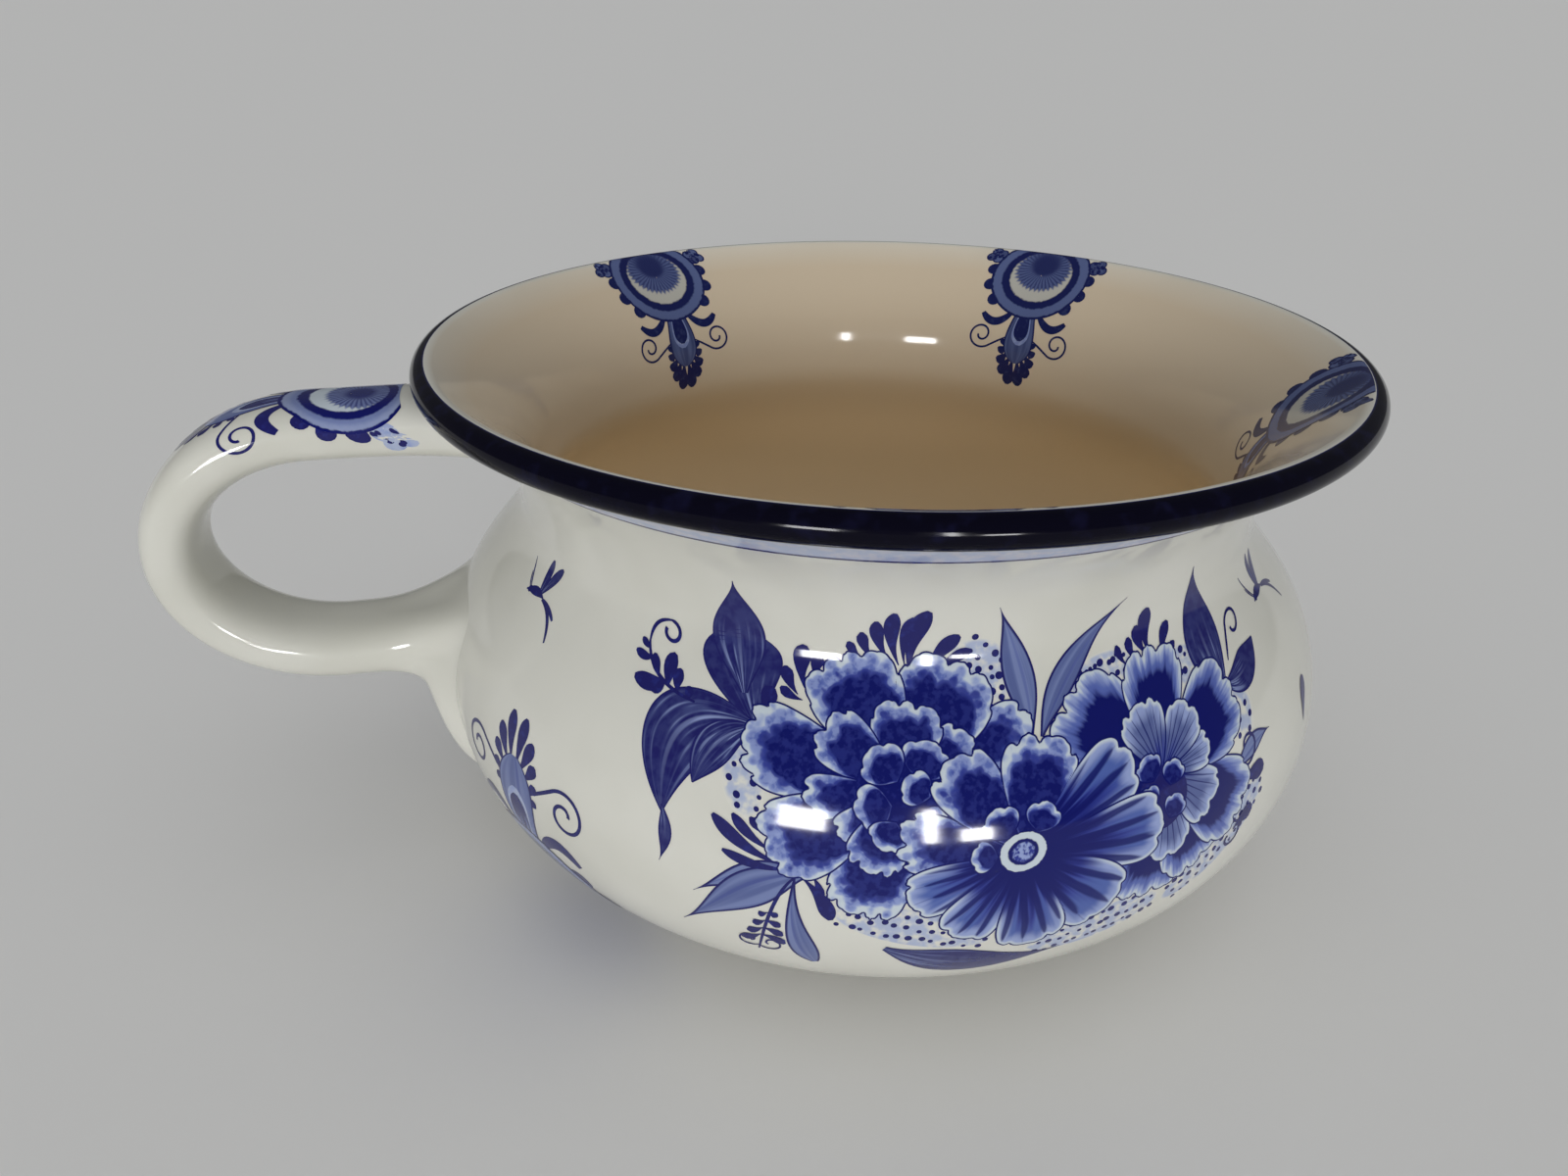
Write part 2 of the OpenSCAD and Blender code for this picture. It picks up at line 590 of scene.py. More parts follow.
@dataclass(frozen=True)
class FlowerEye(Finish):
    """Eye of a flower: a white ring between navy lines round a mottled middle."""

    name: str = "flower_eye"
    ragged: float = 0.12

    def colour(self, graph: Graph) -> Paint:
        """Rings by the distance from the middle.

        Args:
            graph: Its nodes.

        Returns:
            The colour.
        """
        out = graph.attribute("along") + (graph.noise(graph.place(), 1.2) - 0.5) * self.ragged
        middle = graph.mix(graph.noise(graph.place(), 1.0).step(0.4, 0.6), ROYAL_BLUE, PALE_BLUE)
        return graph.tones(out, middle, (0.42, 0.5, NAVY), (0.6, 0.66, PETAL_WHITE),
                           (0.93, 0.97, NAVY))


@dataclass(frozen=True)
class Medallion(Finish):
    """Round head of a palmette: pale band, navy ring, white crescent and feathered heart."""

    name: str = "medallion"
    band: Colour = LEAF_BLUE
    gap: Colour = PETAL_WHITE
    heart: Colour = LEAF_BLUE
    ink: Colour = NAVY
    pale: float = 0.4
    heart_up: float = 0.16
    core_up: float = 0.0
    rays: float = 36.0
    ragged: float = 0.05

    def colour(self, graph: Graph) -> Paint:
        """Rings by the distance from the middle, the feathered heart set off to one side.

        Args:
            graph: Its nodes.

        Returns:
            The colour.
        """
        side, up = graph.attributes("across", "along")
        ragged = (graph.noise(graph.place(), 1.2) - 0.5) * self.ragged
        out = (side * side + up * up) ** 0.5 + ragged
        lifted = up - self.heart_up
        rays = (side.math("ARCTAN2", side, lifted) * (self.rays / math.tau) + ragged * 8).saw()
        heart = (side * side + lifted * lifted * 1.1) ** 0.5 + ragged + rays * 0.07
        core = heart - lifted * self.core_up
        tint = graph.mix(rays * 0.8, self.heart, self.ink)
        tint = graph.mix(core.step(0.36, 0.2) * 0.85, tint, self.ink)
        tint = graph.mix(heart.step(0.55, 0.63), tint, self.gap)
        tint = graph.tones(out, tint, (0.6, 0.64, self.ink), (0.76, 0.8, self.band))
        tint = graph.mix(out.step(0.82, 0.92) * self.pale, tint, LAVENDER)
        return graph.mix(out.step(0.94, 0.965), tint, self.ink)


@dataclass(frozen=True)
class DarkLeaf(Finish):
    """Dark leaf with pale scratched veins that fade towards the tip."""

    name: str = "dark_leaf"
    line: float = 0.4
    veins: float = 0.16
    reach: float = 0.65
    mottle: float = 2.6

    def colour(self, graph: Graph) -> Paint:
        """Dusky blue, darker at edge and tip, washed out and veined near the stalk.

        Args:
            graph: Its nodes.

        Returns:
            The colour.
        """
        edge, along, across, seed = graph.attributes("edge", "along", "across", "seed")
        hairs = graph.noise(graph.flat(across, along * 0.35, seed), self.veins, 1.0)
        fade = along.step(self.reach, 0.05)
        mottle = graph.noise(graph.place(), self.mottle).step(0.35, 0.65)
        tint = graph.mix(mottle * 0.7, INK_NAVY, DUSK_BLUE)
        tint = graph.mix(hairs.step(0.45, 0.62) * fade * 0.55, tint, SLATE_BLUE)
        tint = graph.mix(hairs.step(0.58, 0.68) * fade * 0.75, tint, PALE_BLUE)
        tint = graph.mix(across.size().step(0.1, 0.03) * fade * 0.5, tint, PALE_BLUE)
        return graph.outlined(edge, self.line, tint, INK_NAVY, (1.4, 0.6))


@dataclass(frozen=True)
class WashedLeaf(Finish):
    """Leaf washed in a mid blue inside a navy outline."""

    name: str = "washed_leaf"
    low: Colour = SLATE_BLUE
    high: Colour = LEAF_BLUE
    rib: Colour = ROYAL_BLUE
    ink: Colour = INK_NAVY
    line: float = 0.5
    drag: float = 0.5
    rib_side: float = 0.25

    def colour(self, graph: Graph) -> Paint:
        """Uneven wash, darker beside the middle, with the outline.

        Args:
            graph: Its nodes.

        Returns:
            The colour.
        """
        edge, along, across, seed = graph.attributes("edge", "along", "across", "seed")
        drag = graph.noise(graph.flat(across, along * 0.3, seed), self.drag)
        rib = (across - self.rib_side).size().step(0.16, 0.04)
        tint = graph.mix(drag.step(0.36, 0.64), self.low, self.high)
        tint = graph.mix(rib * 0.35, tint, self.rib)
        return graph.outlined(edge, self.line, tint, self.ink, (1.4, 0.7))


@dataclass(frozen=True)
class BrushLine(Finish):
    """Full stroke of navy, a little lighter where the brush was dry."""

    name: str = "brush_line"
    tint: Colour = INK_NAVY
    dry: Colour = ROYAL_BLUE

    def colour(self, graph: Graph) -> Paint:
        """Navy with soft lighter blots."""
        blots = graph.noise(graph.place(), 1.6).step(0.5, 0.75)
        return graph.mix(blots * 0.45, self.tint, self.dry)


@dataclass(frozen=True)
class PaleWash(Finish):
    """Thin lavender wash that runs out into the white glaze."""

    name: str = "pale_wash"
    thin: Colour = GLAZE_WHITE
    full: Colour = LAVENDER
    fade: float = 1.4

    def colour(self, graph: Graph) -> Paint:
        """Glaze at the edge, clouds of lavender inside it.

        Args:
            graph: Its nodes.

        Returns:
            The colour.
        """
        blots = graph.noise(graph.place(), 2.4).step(0.3, 0.6)
        tint = graph.mix(blots, self.thin, self.full)
        return graph.mix(graph.attribute("edge").step(0.0, self.fade), GLAZE_WHITE, tint)


class Ink(Enum):
    """Inks of the print; each has its own finish."""

    DABBED = DabbedPetal()
    FINGERED = FingeredPetal()
    FANNED = FingeredPetal("fanned_petal", ground=SLATE_BLUE, lanes=4.5, thick=0.5,
                           blunt=1.0, length=0.95, foot=0.08, line=0.36)
    HATCHED = HatchedPetal()
    EYE = FlowerEye()
    MEDALLION = Medallion()
    # The mouth's medallion, leaf and line inks use the darker, greyer copies: painted shade inside
    # the mouth.
    MOUTH = Medallion("mouth_medallion", band=SHADED_BLUE, gap=SHADED_WHITE, heart=SHADED_BLUE,
                      ink=SHADED_NAVY, pale=0.0, core_up=0.5)
    MOUTH_LEAF = WashedLeaf("mouth_leaf", low=SHADED_SLATE, high=SHADED_BLUE, rib=SHADED_SLATE,
                            ink=SHADED_NAVY)
    MOUTH_BLOT = BrushLine("mouth_blot", tint=LEAF_BLUE, dry=LAVENDER)
    MOUTH_LINE = BrushLine("mouth_line", tint=SHADED_NAVY, dry=SHADED_SLATE)
    GROUND = BrushLine("navy_ground", tint=NAVY)
    DARK = DarkLeaf()
    STREAKED = DarkLeaf("streaked_leaf", reach=1.3)
    WASHED = WashedLeaf()
    LINE = BrushLine()
    WASH = PaleWash()
    BLOT = PaleWash("pale_blot", thin=PALE_BLUE, full=LAVENDER, fade=0.05)
    TINT = PaleWash("rim_tint", thin=RIM_TINT, full=LAVENDER)


def bezier(controls: Array, t: Array) -> Array:
    """Point on a Bezier curve of any degree.

    Args:
        controls: Control points, the first axis counting them.
        t: Where on the curve, 0 to 1, shaped to multiply a control point.

    Returns:
        The points.
    """
    points = [np.asarray(control, float) for control in controls]
    while len(points) > 1:
        points = [(1 - t) * a + t * b for a, b in zip(points, points[1:])]
    return points[0]


def run_lengths(points: Array) -> Array:
    """Distance of each point from the first, along the line through them."""
    return np.concatenate([[0], np.cumsum(np.linalg.norm(np.diff(points, axis=0), axis=1))])


def resample(points: Array, count: int) -> Array:
    """Spreads points evenly along a line.

    Args:
        points: The line's points.
        count: How many points to give back.

    Returns:
        Points at even distances.
    """
    lengths = run_lengths(points)
    places = np.linspace(0, lengths[-1], count)
    return np.stack([np.interp(places, lengths, column) for column in points.T], -1)


def round_axis(angle: Array, out: Array, height: Array) -> Array:
    """Points or directions at an angle round the pot's axis."""
    return np.stack([out * np.cos(angle), out * np.sin(angle), height], -1)


def turned(vectors: Array) -> Array:
    """Vectors of length 1 in the same directions."""
    return vectors / np.maximum(np.linalg.norm(vectors, axis=-1, keepdims=True), 1e-12)


def in_scene(name: str, data: bpy.types.ID) -> bpy.types.Object:
    """Puts a mesh, lamp or camera into the scene.

    Args:
        name: Its name.
        data: What it holds.

    Returns:
        The object.
    """
    made = bpy.data.objects.new(name, data)
    bpy.context.scene.collection.objects.link(made)
    return made


def mesh_object(name: str, points: Array, faces: Sequence[Sequence[int]], normals: Array,
                **numbers: Array) -> bpy.types.Object:
    """Makes a smooth mesh object.

    Args:
        name: Name of the piece.
        points: Its points in mm.
        faces: Places of each face's points.
        normals: Surface direction for each point, or for each corner of each face.
        **numbers: Values at each point that a finish reads, by name.

    Returns:
        The object, in the scene.
    """
    mesh = bpy.data.meshes.new(name)
    mesh.from_pydata((points * MM).tolist(), [], [list(map(int, face)) for face in faces])
    mesh.shade_smooth()
    for key, values in numbers.items():
        layer = mesh.attributes.new(key, "FLOAT", "POINT")
        layer.data.foreach_set("value", np.ascontiguousarray(values, np.float32).ravel())
    if len(normals) == len(points):
        mesh.normals_split_custom_set_from_vertices(normals.tolist())
    else:
        mesh.normals_split_custom_set(normals.tolist())
    return in_scene(name, mesh)


def keep(made: bpy.types.Object, material: bpy.types.Material, slot: str,
         *nodes: str) -> None:
    """Dresses a piece and hands it to the frame.

    Args:
        made: The piece.
        material: Its finish.
        slot: The record's material slot; not used.
        *nodes: CAD nodes that it stands for.
    """
    made.data.materials.append(material)
    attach(made, BODY)
    if nodes:
        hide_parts(*nodes)
    LOG.info("%s: %d faces, %s", made.name, len(made.data.polygons), material.name)


@dataclass(frozen=True)
class Outline:
    """A line of the pot's half section, [radius, height] in mm from its lower end."""

    points: Array
    arcs: Array
    directions: Array

    @classmethod
    def through(cls, points: Array, count: int = 900) -> Outline:
        """Makes an outline through points.

        Args:
            points: Points of the line, from its lower end.
            count: How finely it is kept.

        Returns:
            The outline.
        """
        even = resample(points, count)
        return cls(even, run_lengths(even), turned(np.gradient(even, axis=0)))

    def at(self, arc: Array) -> tuple[Array, Array, Array]:
        """Reads the outline.

        Args:
            arc: Distance along it from its lower end.

        Returns:
            Radius, height and direction there.
        """
        radius, height = (np.interp(arc, self.arcs, column) for column in self.points.T)
        direction = [np.interp(arc, self.arcs, column) for column in self.directions.T]
        return radius, height, turned(np.stack(direction, -1))

    def arc_at(self, height: float) -> float:
        """Distance along the outline up to a height."""
        return float(np.interp(height, self.points[:, 1], self.arcs))


@dataclass(frozen=True)
class PotForm:
    """Sizes of the pot in mm, and the lines of its half section."""

    rim_r: float
    pot_h: float
    bead_r: float
    belly_r: float
    foot_r: float
    foot_h: float
    neck_r: float = 97.0
    neck_h: float = 104.0
    belly_h: float = 54.0
    wall: float = 5.5
    floor_t: float = 7.0
    foot_w: float = 8.0
    shoulder_pull: float = 0.6
    neck_pull: float = 0.25
    flare_pull: float = 0.55
    lip_pull: float = 0.35
    flare_lean: float = math.radians(55)
    lip_seat: Point = (0.35, -0.5)
    groove: float = 5.2
    band_low: float = math.radians(-85)
    curve_steps: int = 120
    fillet_steps: int = 40
    lip_steps: int = 12

    @classmethod
    def from_frame(cls) -> PotForm:
        """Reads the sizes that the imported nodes' boxes give.

        Returns:
            The pot's form.
        """
        rim_low, rim_high = (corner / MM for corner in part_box("rim_band"))
        foot_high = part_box("foot_ring")[1] / MM
        bowl_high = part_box("bowl_body")[1] / MM
        return cls(rim_r=rim_high.x, pot_h=rim_high.z, bead_r=(rim_high.z - rim_low.z) / 2,
                   belly_r=bowl_high.x, foot_r=foot_high.x, foot_h=foot_high.z)

    @property
    def bead_c(self) -> Array:
        """Middle of the rolled rim's section."""
        return np.array([self.rim_r - self.bead_r, self.pot_h - self.bead_r])

    def on_bead(self, angle: Array) -> Array:
        """Point on the rolled rim at an angle, 0 outwards and a quarter turn at its top."""
        return self.bead_c + self.bead_r * np.stack([np.cos(angle), np.sin(angle)], -1)

    def wall_line(self, inset: float, bottom: float, lip: Array) -> Array:
        """One side of the wall, from the floor's edge to the lip.

        Args:
            inset: Distance in from the outer side.
            bottom: Height of its lower end.
            lip: Its upper end.

        Returns:
            Points of the line.
        """
        t = np.linspace(0, 1, self.curve_steps)[:, None]
        belly, waist = self.belly_r - inset, self.neck_r - inset
        turn = t * math.pi / 2
        lower = np.hstack([self.foot_r + (belly - self.foot_r) * np.sin(turn),
                           self.belly_h - (self.belly_h - bottom) * np.cos(turn)])
        rise = self.neck_h - self.belly_h
        shoulder = bezier([(belly, self.belly_h), (belly, self.belly_h + self.shoulder_pull * rise),
                           (waist, self.neck_h - self.neck_pull * rise), (waist, self.neck_h)], t)
        rise = lip[1] - self.neck_h
        lean = np.array([math.sin(self.flare_lean), math.cos(self.flare_lean)])
        flare = bezier([(waist, self.neck_h), (waist, self.neck_h + self.flare_pull * rise),
                        lip - self.lip_pull * rise * lean, lip], t)
        return np.vstack([lower, shoulder[1:], flare[1:]])

    def outside(self) -> Outline:
        """Outer side, from the foot to the groove under the rolled rim and onto its underside.

        Returns:
            The outline.
        """
        lip = self.bead_c + self.bead_r * np.array(self.lip_seat)
        wall = Outline.through(self.wall_line(0.0, self.foot_h, lip))
        kept = wall.points[wall.arcs < wall.arcs[-1] - self.groove]
        start, heading = kept[-1], turned(kept[-1] - kept[-2])
        end = self.on_bead(np.array(self.band_low))
        leaving = np.array([-math.sin(self.band_low), math.cos(self.band_low)])
        reach = np.linalg.solve(np.stack([heading, leaving], 1), end - start)[0]
        fillet = bezier([start, start + heading * reach, end],
                        np.linspace(0, 1, self.fillet_steps)[:, None])
        return Outline.through(np.vstack([kept, fillet[1:]]))

    def inside(self) -> Outline:
        """Inner side, from the floor's edge to where it runs onto the rolled rim."""
        lip = self.on_bead(np.array(math.pi - self.flare_lean))
        return Outline.through(self.wall_line(self.wall, self.foot_h + self.floor_t, lip))

    def mouth(self) -> Outline:
        """Inner side with the white part of the rolled rim, up to the rim's top."""
        white = self.on_bead(np.linspace(math.pi - self.flare_lean, math.pi / 2, self.lip_steps))
        return Outline.through(np.vstack([self.inside().points, white[1:]]))


def lathe(name: str, runs: Sequence[Array], turns: int, **numbers: Array) -> bpy.types.Object:
    """Turns a closed half section round the pot's axis.

    Args:
        name: Name of the piece.
        runs: Smooth lines that follow each other, outer side on the right; a sharp edge lies
            between two runs. The ends lie on the axis, or the last run ends where the first starts.
        turns: Steps round the axis.
        **numbers: Values along the joined runs that a finish reads.

    Returns:
        The piece.
    """
    line = np.vstack([runs[0]] + [run[1:] for run in runs[1:]])
    closed = np.allclose(line[0], line[-1])
    if closed:
        line = line[:-1]
    angle = np.linspace(0, 2 * math.pi, turns, endpoint=False)
    around = np.stack([np.cos(angle), np.sin(angle)], -1)
    rings: list[Array] = []
    points: list[Array] = []
    count = 0
    for radius, height in line:
        pole = radius < NOTHING
        ring = np.zeros((1, 3)) if pole else np.hstack([radius * around, np.zeros((turns, 1))])
        ring[:, 2] = height
        rings.append(np.full(turns, count) if pole else count + np.arange(turns))
        points.append(ring)
        count += len(ring)
    faces: list[list[int]] = []
    normals: list[Array] = []
    start = 0
    after = np.roll(np.arange(turns), -1)
    for run in runs:
        ahead = turned(np.gradient(run, axis=0, edge_order=2 if len(run) > 2 else 1))
        sides = [np.hstack([up * around, np.full((turns, 1), -out)]) for out, up in ahead]
        for step in range(len(run) - 1):
            low, high = rings[start + step], rings[(start + step + 1) % len(line)]
            corners = np.stack([low, low[after], high[after], high], 1)
            leaning = np.stack([sides[step], sides[step][after], sides[step + 1][after],
                                sides[step + 1]], 1)
            keeps = np.ones(4, bool)
            keeps[1] = low[0] != low[1]
            keeps[2] = high[0] != high[1]
            faces.extend(corners[:, keeps].tolist())
            normals.append(leaning[:, keeps].reshape(-1, 3))
        start += len(run) - 1
    spread = {key: np.repeat(values[:len(line)], [len(ring) for ring in points])
              for key, values in numbers.items()}
    return mesh_object(name, np.vstack(points), faces, np.vstack(normals), **spread)


@dataclass
class Bowl:
    """The bowl with its rolled rim and foot ring."""

    form: PotForm
    glaze: bpy.types.Material
    turns: int = 288
    outer_steps: int = 130
    inner_steps: int = 110
    bead_steps: int = 36
    lip_steps: int = 8
    flat_steps: int = 9
    fade_steps: int = 14
    edge_steps: int = 5
    foot_steps: int = 8
    foot_round: float = 1.1

    def build_body(self) -> None:
        """Makes the white bowl, closed behind the dark rim."""
        form = self.form
        outer = resample(form.outside().points, self.outer_steps)
        inner = resample(form.inside().points, self.inner_steps)[::-1]
        top = form.on_bead(np.linspace(math.pi / 2, math.pi - form.flare_lean, self.lip_steps))
        floor = np.linspace(inner[-1], (0.0, inner[-1][1]), self.flat_steps)
        mouth = np.vstack([top, inner[1:], floor[1:]])
        under = np.linspace((0.0, form.foot_h), outer[0], self.flat_steps)
        seam = np.stack([outer[-1], top[0]])
        runs = [under, outer, seam, mouth]
        # Share of the inside's cream, with its painted shade and painted light, along the section.
        fade = np.linspace(0, 1, self.fade_steps)
        inside = np.concatenate([np.zeros(len(under) + len(outer) - 1), fade,
                                 np.ones(len(mouth) - len(fade))])
        made = lathe("bowl", runs, self.turns, inner=inside)
        keep(made, self.glaze, "white_glaze", "bowl_body")

    def build_rim(self) -> None:
        """Makes the dark rolled rim, from the groove below it up to its top."""
        dark = self.form.on_bead(np.linspace(self.form.band_low, math.pi / 2, self.bead_steps))
        edge = np.linspace(np.zeros(2), dark[0] - dark[-1], self.edge_steps) + dark[-1]
        from_edge = np.linalg.norm(dark - dark[-1], axis=1)
        made = lathe("cobalt_rim", [dark, edge], self.turns,
                     edge=np.concatenate([from_edge, np.zeros(self.edge_steps - 1)]))
        keep(made, CobaltBand().material(), "cobalt_glaze", "rim_band")

    def build_foot(self) -> None:
        """Makes the foot ring with its rounded standing face."""
        form, soft = self.form, self.foot_round
        inner, outer = form.foot_r - form.foot_w, form.foot_r
        turn = np.linspace(0, math.pi / 2, self.foot_steps)
        left = np.stack([inner + soft - soft * np.cos(turn), soft - soft * np.sin(turn)], -1)
        right = np.stack([outer - soft + soft * np.sin(turn), soft - soft * np.cos(turn)], -1)
        ring = np.vstack([[(inner, form.foot_h)], left, right, [(outer, form.foot_h)]])
        lid = np.stack([ring[-1], ring[0]])
        made = lathe("foot", [ring, lid], self.turns)
        keep(made, FootClay().material(), "bare_clay", "foot_ring")

    def build(self) -> None:
        """Makes the three pieces."""
        self.build_body()
        self.build_rim()
        self.build_foot()


@dataclass
class Landing:
    """Where an end of the strap spreads on the pot's outer side, in mm along that side."""

    middle: float
    up: float
    down: float
    half_width: float
    power: float
    corner: float
    holds: int
    rise_pull: float
    drop_pull: float
    drop_dig: float
    dig: float = 0.28
    bow: float = 0.35
    sink: float = 0.05
    straight_top: bool = False
    top_rate: float = 2.2
    top_start: float = 0.2
    top_depth: float = 1.0


@dataclass
class Handle:
    """The strap handle: a loop whose two ends run out on the pot."""

    form: PotForm
    glaze: bpy.types.Material
    reach: float
    top: float
    bottom: float
    width: float
    upper_end: float
    thick: float = 14.0
    bend: float = 36.5
    join: float = 13.0
    spread: float = 5.0
    rise: float = 7.0
    tail_h: float = 26.0
    tail_spread: float = 8.0
    power: float = 2.6
    arm_pull: float = 13.0
    around: int = 72
    step: float = 0.9
    fine: int = 400
    round_step: float = 0.004
    run_step: float = 0.05
    outer: Outline = field(init=False)
    upper: Landing = field(init=False)
    lower: Landing = field(init=False)

    @classmethod
    def from_frame(cls, form: PotForm, glaze: bpy.types.Material) -> Handle:
        """Reads the strap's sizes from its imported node.

        Args:
            form: The pot that it is fixed to.
            glaze: Its finish.

        Returns:
            The handle.
        """
        low, high = (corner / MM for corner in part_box("handle_strap"))
        return cls(form, glaze, reach=-low.x, top=high.z, bottom=low.z, width=high.y - low.y,
                   upper_end=-high.x)

    def __post_init__(self) -> None:
        """Works out where the two ends land on the pot."""
        self.outer = self.form.outside()
        at_upper = self.outer.arc_at(self.upper_h)
        at_lower = self.outer.arc_at(self.lower_h)
        self.upper = Landing(
            at_upper, up=self.outer.arc_at(self.top) - at_upper,
            down=at_upper - self.outer.arc_at(self.upper_h - self.thick / 2 - self.rise),
            half_width=self.width / 2 + self.spread, power=self.power, corner=self.arm_pull,
            holds=1, rise_pull=8.0, drop_pull=9.0, drop_dig=0.28, straight_top=True)
        self.lower = Landing(
            at_lower, up=self.outer.arc_at(self.lower_h + self.thick / 2 + self.rise) - at_lower,
            down=at_lower - self.outer.arc_at(self.tail_h),
            half_width=self.width / 2 + self.tail_spread, power=4.2, corner=23.3, holds=2,
            rise_pull=8.0, drop_pull=11.5, drop_dig=1.9)

    @property
    def upper_h(self) -> float:
        """Height of the upper arm's middle."""
        return self.top - self.thick / 2

    @property
    def lower_h(self) -> float:
        """Height of the lower arm's middle."""
        return self.bottom + self.thick / 2

    @property
    def arm_r(self) -> float:
        """Distance from the axis at which the arms turn into the bend."""
        return self.reach - self.thick / 2 - self.bend

    def oval(self, turn: Array, power: float) -> tuple[Array, ...]:
        """Rounded oval of half width and half height 1 at an angle; power 2 is an ellipse."""
        ways = np.cos(turn), np.sin(turn)
        return tuple(np.sign(way) * np.abs(way) ** (2 / power) for way in ways)

    def ring(self, turn: Array, out: Array, height: Array, lean: Array) -> Array:
        """Point of the strap's section.

        Args:
            turn: Angle round the section, a quarter turn on the loop's outer side.
            out: Distance of the section's middle from the pot's axis.
            height: Its height.
            lean: Heading of the strap, 0 outwards and minus half a turn coming back.

        Returns:
            The point.
        """
        side, up = self.oval(turn, self.power)
        side, up = side * self.width / 2, up * self.thick / 2
        return np.stack([-out + up * np.sin(lean), side, height + up * np.cos(lean)], -1)

    def loft(self, turn: Array, t: Array, height: float, landing: Landing, lean: float) -> Array:
        """Point between an arm's end and where it lands on the pot.

        Args:
            turn: Angle round the section.
            t: 0 at the arm, 1 on the pot.
            height: Height of the arm's middle.
            landing: Where it lands.
            lean: Heading of the strap at the arm's end.

        Returns:
            The point.
        """
        start = self.ring(turn, np.full_like(turn, self.arm_r), np.full_like(turn, height),
                          np.full_like(turn, lean))
        flip = math.cos(lean)
        side, up = self.oval(turn, landing.power)
        up = up * flip
        along = np.where(up > 0, landing.up, landing.down) * up
        across = landing.half_width * side
        radius, level, heading = self.outer.at(landing.middle + along)
        bearing = math.pi - across / radius
        away = turned(np.stack([across, along], -1))
        round_way = np.stack([np.sin(bearing), -np.cos(bearing), np.zeros_like(bearing)], -1)
        up_way = round_axis(bearing, heading[:, 0], heading[:, 1])
        outward = round_axis(bearing, heading[:, 1], -heading[:, 0])
        end = round_axis(bearing, radius, level) - outward * landing.sink
        inward = np.array([1.0, 0.0, 0.0])
        low = np.clip(-up, 0, 1)[:, None] ** landing.bow
        dig = landing.dig + (landing.drop_dig - landing.dig) * low
        arriving = turned(round_way * away[:, :1] + up_way * away[:, 1:] - outward * dig)
        pull = landing.rise_pull + (landing.drop_pull - landing.rise_pull) * low
        held = start + inward * (self.arm_pull + (landing.corner - self.arm_pull) * low)
        if landing.straight_top:
            soft = np.clip(up * landing.top_rate + landing.top_start, 0, 1)[:, None]
            gap = -start[:, :1] - radius[:, None]
            level_end = start + inward * (gap + landing.top_depth)
            end = end * (1 - soft) + level_end * soft
            arriving = turned(arriving * (1 - soft) + inward * soft)
        return bezier([start, *[held] * landing.holds, end - arriving * pull, end], t[:, None])

    @property
    def lengths(self) -> tuple[float, float, float]:
        """Lengths of the upper loft, the bend and the lower loft along the strap.

        Returns:
            The three lengths in mm.
        """
        upper = self.arm_r - self.outer.at(np.array([self.upper.middle]))[0][0]
        lower = self.arm_r - self.outer.at(np.array([self.lower.middle]))[0][0]
        half = (self.upper_h - self.lower_h) / 2
        turn = np.linspace(0, math.pi, self.fine)
        path = np.stack([self.bend * np.sin(turn), half * np.cos(turn)], -1)
        return upper, float(run_lengths(path)[-1]), lower

    def surface(self, turn: Array, run: Array) -> Array:
        """Point of the handle.

        Args:
            turn: Angle round its section.
            run: Distance along it from the upper landing.

        Returns:
            The point, in mm.
        """
        upper, loop, lower = self.lengths
        half = (self.upper_h - self.lower_h) / 2
        sweep = math.pi / 2 - math.pi * np.clip((run - upper) / loop, 0, 1)
        lean = np.arctan2(-half * np.cos(sweep), self.bend * np.sin(sweep))
        bent = self.ring(turn, self.arm_r + self.bend * np.cos(sweep),
                         (self.upper_h + self.lower_h) / 2 + half * np.sin(sweep), lean)
        first = self.loft(turn, np.clip(1 - run / upper, 0, 1), self.upper_h, self.upper, 0.0)
        last = self.loft(turn, np.clip((run - upper - loop) / lower, 0, 1), self.lower_h,
                         self.lower, -math.pi)
        return np.where((run < upper)[:, None], first,
                        np.where((run > upper + loop)[:, None], last, bent))

    def normals(self, turn: Array, run: Array) -> Array:
        """Outward directions of the handle at the same places as its points.

        Args:
            turn: Angle round the section.
            run: Distance along the handle from the upper landing.

        Returns:
            Directions of length 1.
        """
        end = sum(self.lengths)
        back, ahead = (np.clip(run + step, 0, end) for step in (-self.run_step, self.run_step))
        before, after = (self.surface(turn + step, run)
                         for step in (-self.round_step, self.round_step))
        round_way = after - before
        run_way = self.surface(turn, ahead) - self.surface(turn, back)
        return turned(np.cross(run_way, round_way))

    def build_piece(self, name: str, first: float, last: float, node: str) -> None:
        """Makes one stretch of the handle, closed at both ends.

        Args:
            name: Name of the piece.
            first: Where it starts, along the handle.
            last: Where it ends.
            node: CAD node that it stands for.
        """
        rows, around = max(3, int((last - first) / self.step) + 1), self.around
        run, turn = np.meshgrid(np.linspace(first, last, rows),
                                np.linspace(0, 2 * math.pi, around, endpoint=False),
                                indexing="ij")
        points = self.surface(turn.ravel(), run.ravel())
        normals = self.normals(turn.ravel(), run.ravel())
        grid = np.arange(rows * around).reshape(rows, around)
        beside = np.roll(grid, -1, axis=1)
        quads = np.stack([grid[:-1], grid[1:], beside[1:], beside[:-1]], -1).reshape(-1, 4)
        ends = np.stack([points[:around].mean(0), points[-around:].mean(0)])
        caps = [[len(points), *pair] for pair in zip(grid[0], beside[0])]
        caps += [[len(points) + 1, *pair] for pair in zip(beside[-1], grid[-1])]
        corner_normals = np.vstack([normals[quads.ravel()], np.zeros((3 * len(caps), 3))])
        made = mesh_object(name, np.vstack([points, ends]), quads.tolist() + caps, corner_normals)
        keep(made, self.glaze, "white_glaze", node)

